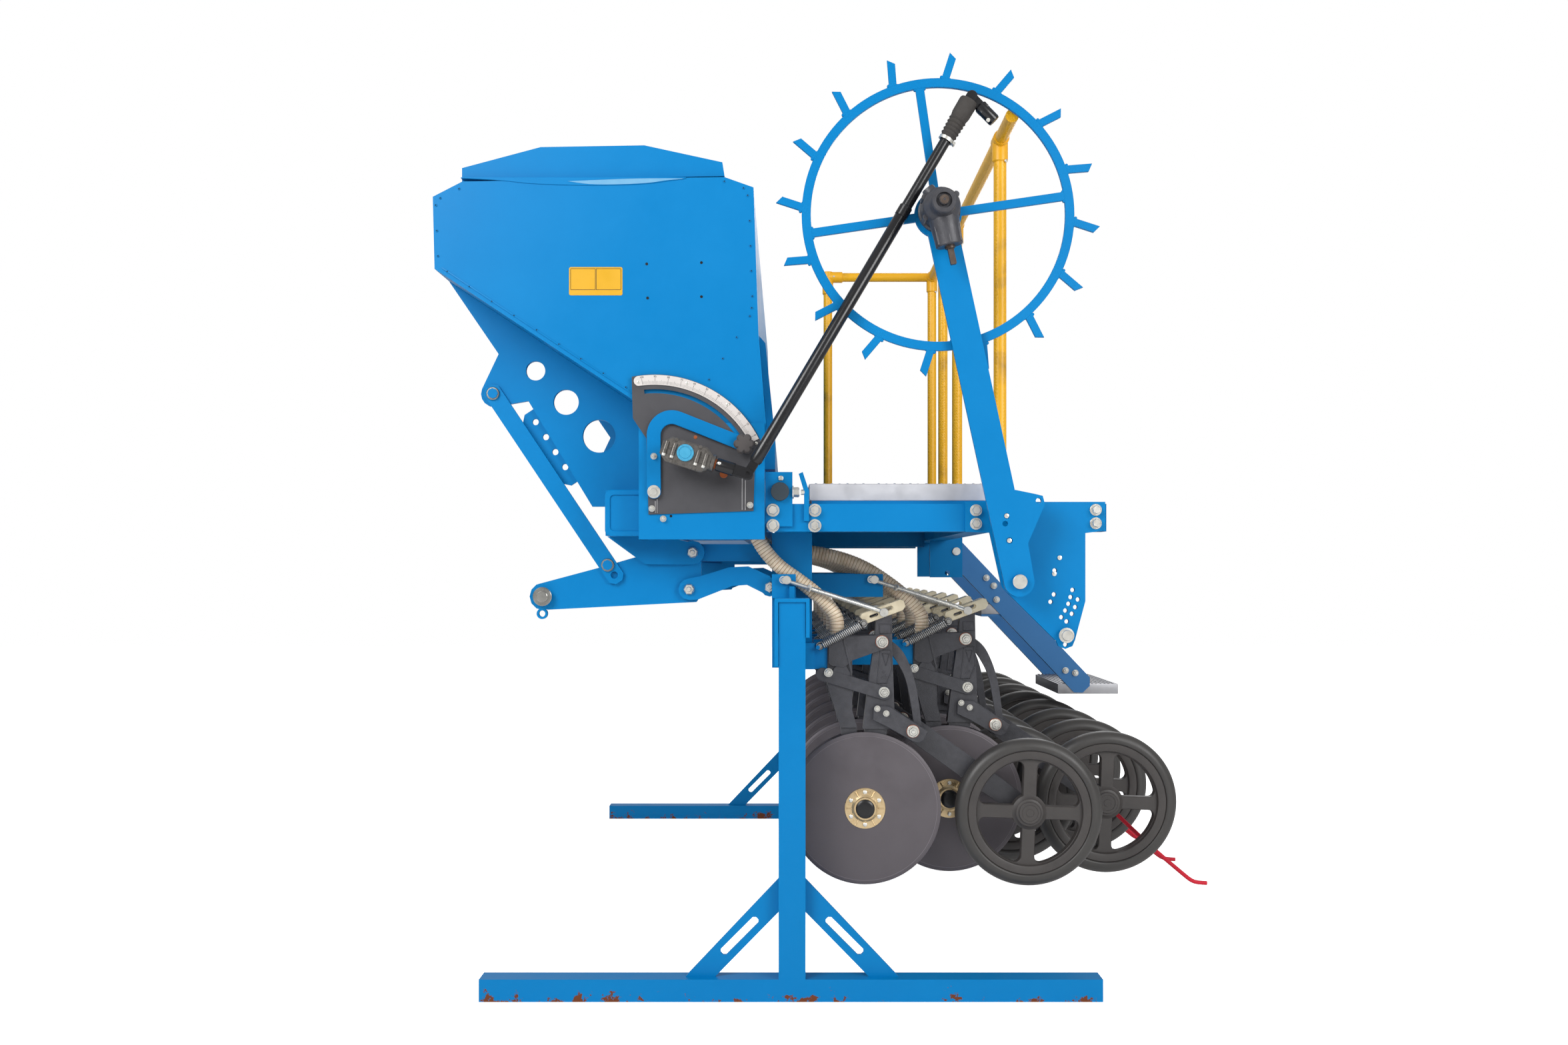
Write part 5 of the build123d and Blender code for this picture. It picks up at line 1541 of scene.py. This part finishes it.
# ------------------------------------------------------------------ press wheels
# A moulded black plastic wheel with four spokes under a semi-pneumatic rubber tyre. It firms the
# soil over the seed. Field dust turns the rubber a warm dark grey with a low sheen.
tyre_rubber = finish("dusty tyre rubber", "#3E3C3A", "#2D2B2A", 0.42, 60, 0.9, 0.0001, 0.0)
tyres = bmesh.new()
turned(
    tyres, at(*wheel_middle), far,
    [(-21.5, 142.5), (-24, 144), (-25, 148), (-24, 155), (-20.5, 162), (-15, 167), (-8, 169.5),
     (0, 170), (8, 169.5), (15, 167), (20.5, 162), (24, 155), (25, 148), (24, 144), (21.5, 142.5)],
    96, loop=True,
)
at_spinners("press_tyres", tyres, tyre_rubber, "press_wheel", True, 50)

# The plastic is a little lighter and duller than the tyre, for dust clings to it.
wheel_plastic = finish("dusty black plastic", "#423E3C", "#322F2E", 0.48, 40, 0.8, 0.00006, 0.0)
wheel_x, _, wheel_z = wheel_middle
press_rims = bmesh.new()
turned(
    press_rims, at(*wheel_middle), far,
    [(-20, 143), (-22, 141), (-22.4, 126), (-21, 123.4), (-6, 119.4), (6, 119.4), (21, 123.4),
     (22.4, 126), (22, 141), (20, 143)],
    96, loop=True,
)
windows = []
spoke_half = 15.5
window_out = 120
out_round = 14
in_round = 24
out_reach = math.sqrt((window_out - out_round) ** 2 - (spoke_half + out_round) ** 2)
out_turn = math.degrees(math.atan2(spoke_half + out_round, out_reach))
for number in range(4):
    # drawn between two spokes that stand along u and v, then turned about the wheel
    window = arc(out_reach, spoke_half + out_round, out_round, -90, out_turn, 6)
    window += arc(0, 0, window_out, out_turn, 90 - out_turn, 12)[1:-1]
    window += arc(spoke_half + out_round, out_reach, out_round, 90 - out_turn, 180, 6)
    window += arc(spoke_half + in_round, spoke_half + in_round, in_round, 180, 270, 7)
    turn = math.radians(90 * number - 2)
    along, across = math.cos(turn), math.sin(turn)
    windows.append(
        [
            (wheel_x + u * along - v * across, wheel_z + u * across + v * along)
            for u, v in window
        ]
    )
plate(press_rims, [circle(wheel_x, wheel_z, 132, 96)] + windows, (-13, 13), 1.6)
turned(
    press_rims, at(*wheel_middle), far,
    [(-13, 40), (-17, 34), (-21, 31), (-23, 26), (-23, 10.1), (23, 10.1), (23, 26), (21, 31),
     (17, 34), (13, 40)],
    48, loop=True,
)
at_spinners("press_rims", press_rims, wheel_plastic, "press_wheel", False, 30)

hub_caps = bmesh.new()
for way in (-1, 1):
    turned(
        hub_caps, at(*wheel_middle), (0, way, 0),
        [(22, 26), (25, 25.6), (26.6, 24), (26.6, 19), (25.6, 18.4), (25.6, 9), (26.4, 8.4),
         (26.4, 0.4)],
        40,
    )
at_spinners("press_hub_caps", hub_caps, wheel_plastic, "press_wheel", False)

# ------------------------------------------------------------------ covering tines
# Spring wire of 10 mm, one to a row of the rear rank. It starts at the end of its press arm, drops
# behind the wheel to the soil and trails flat. Powder coated red, bright and smooth.
tine_side = 75         # mm from the row's middle to its tine
tine_round = 5
tine_way = [
    (757, 36, 404), (757, 70, 404), (764, tine_side, 397), (881, tine_side, 284),
    (965, tine_side, 213), (986, tine_side, 196), (1002, tine_side, 192), (1023, tine_side, 191),
]
red_coat = powder_coat("red powder coat", "#D0293B", "#B81F31")
tines = bmesh.new()
for _, row_y in row_places[1::2]:
    line = smooth_route([at(x, row_y + aside, z) for x, aside, z in tine_way], 0.01)
    tube(tines, line, tine_round, 12)
add_piece("tine_wires", tines, red_coat, "root", ("covering_tines",))

# ------------------------------------------------------------------ size of the whole drill
# The CAD's extent before the pieces above stood in for parts of it, and the extent after.
size = {
    "before": [list(cad_low), list(cad_high)],
    "after": [list(corner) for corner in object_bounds()],
}
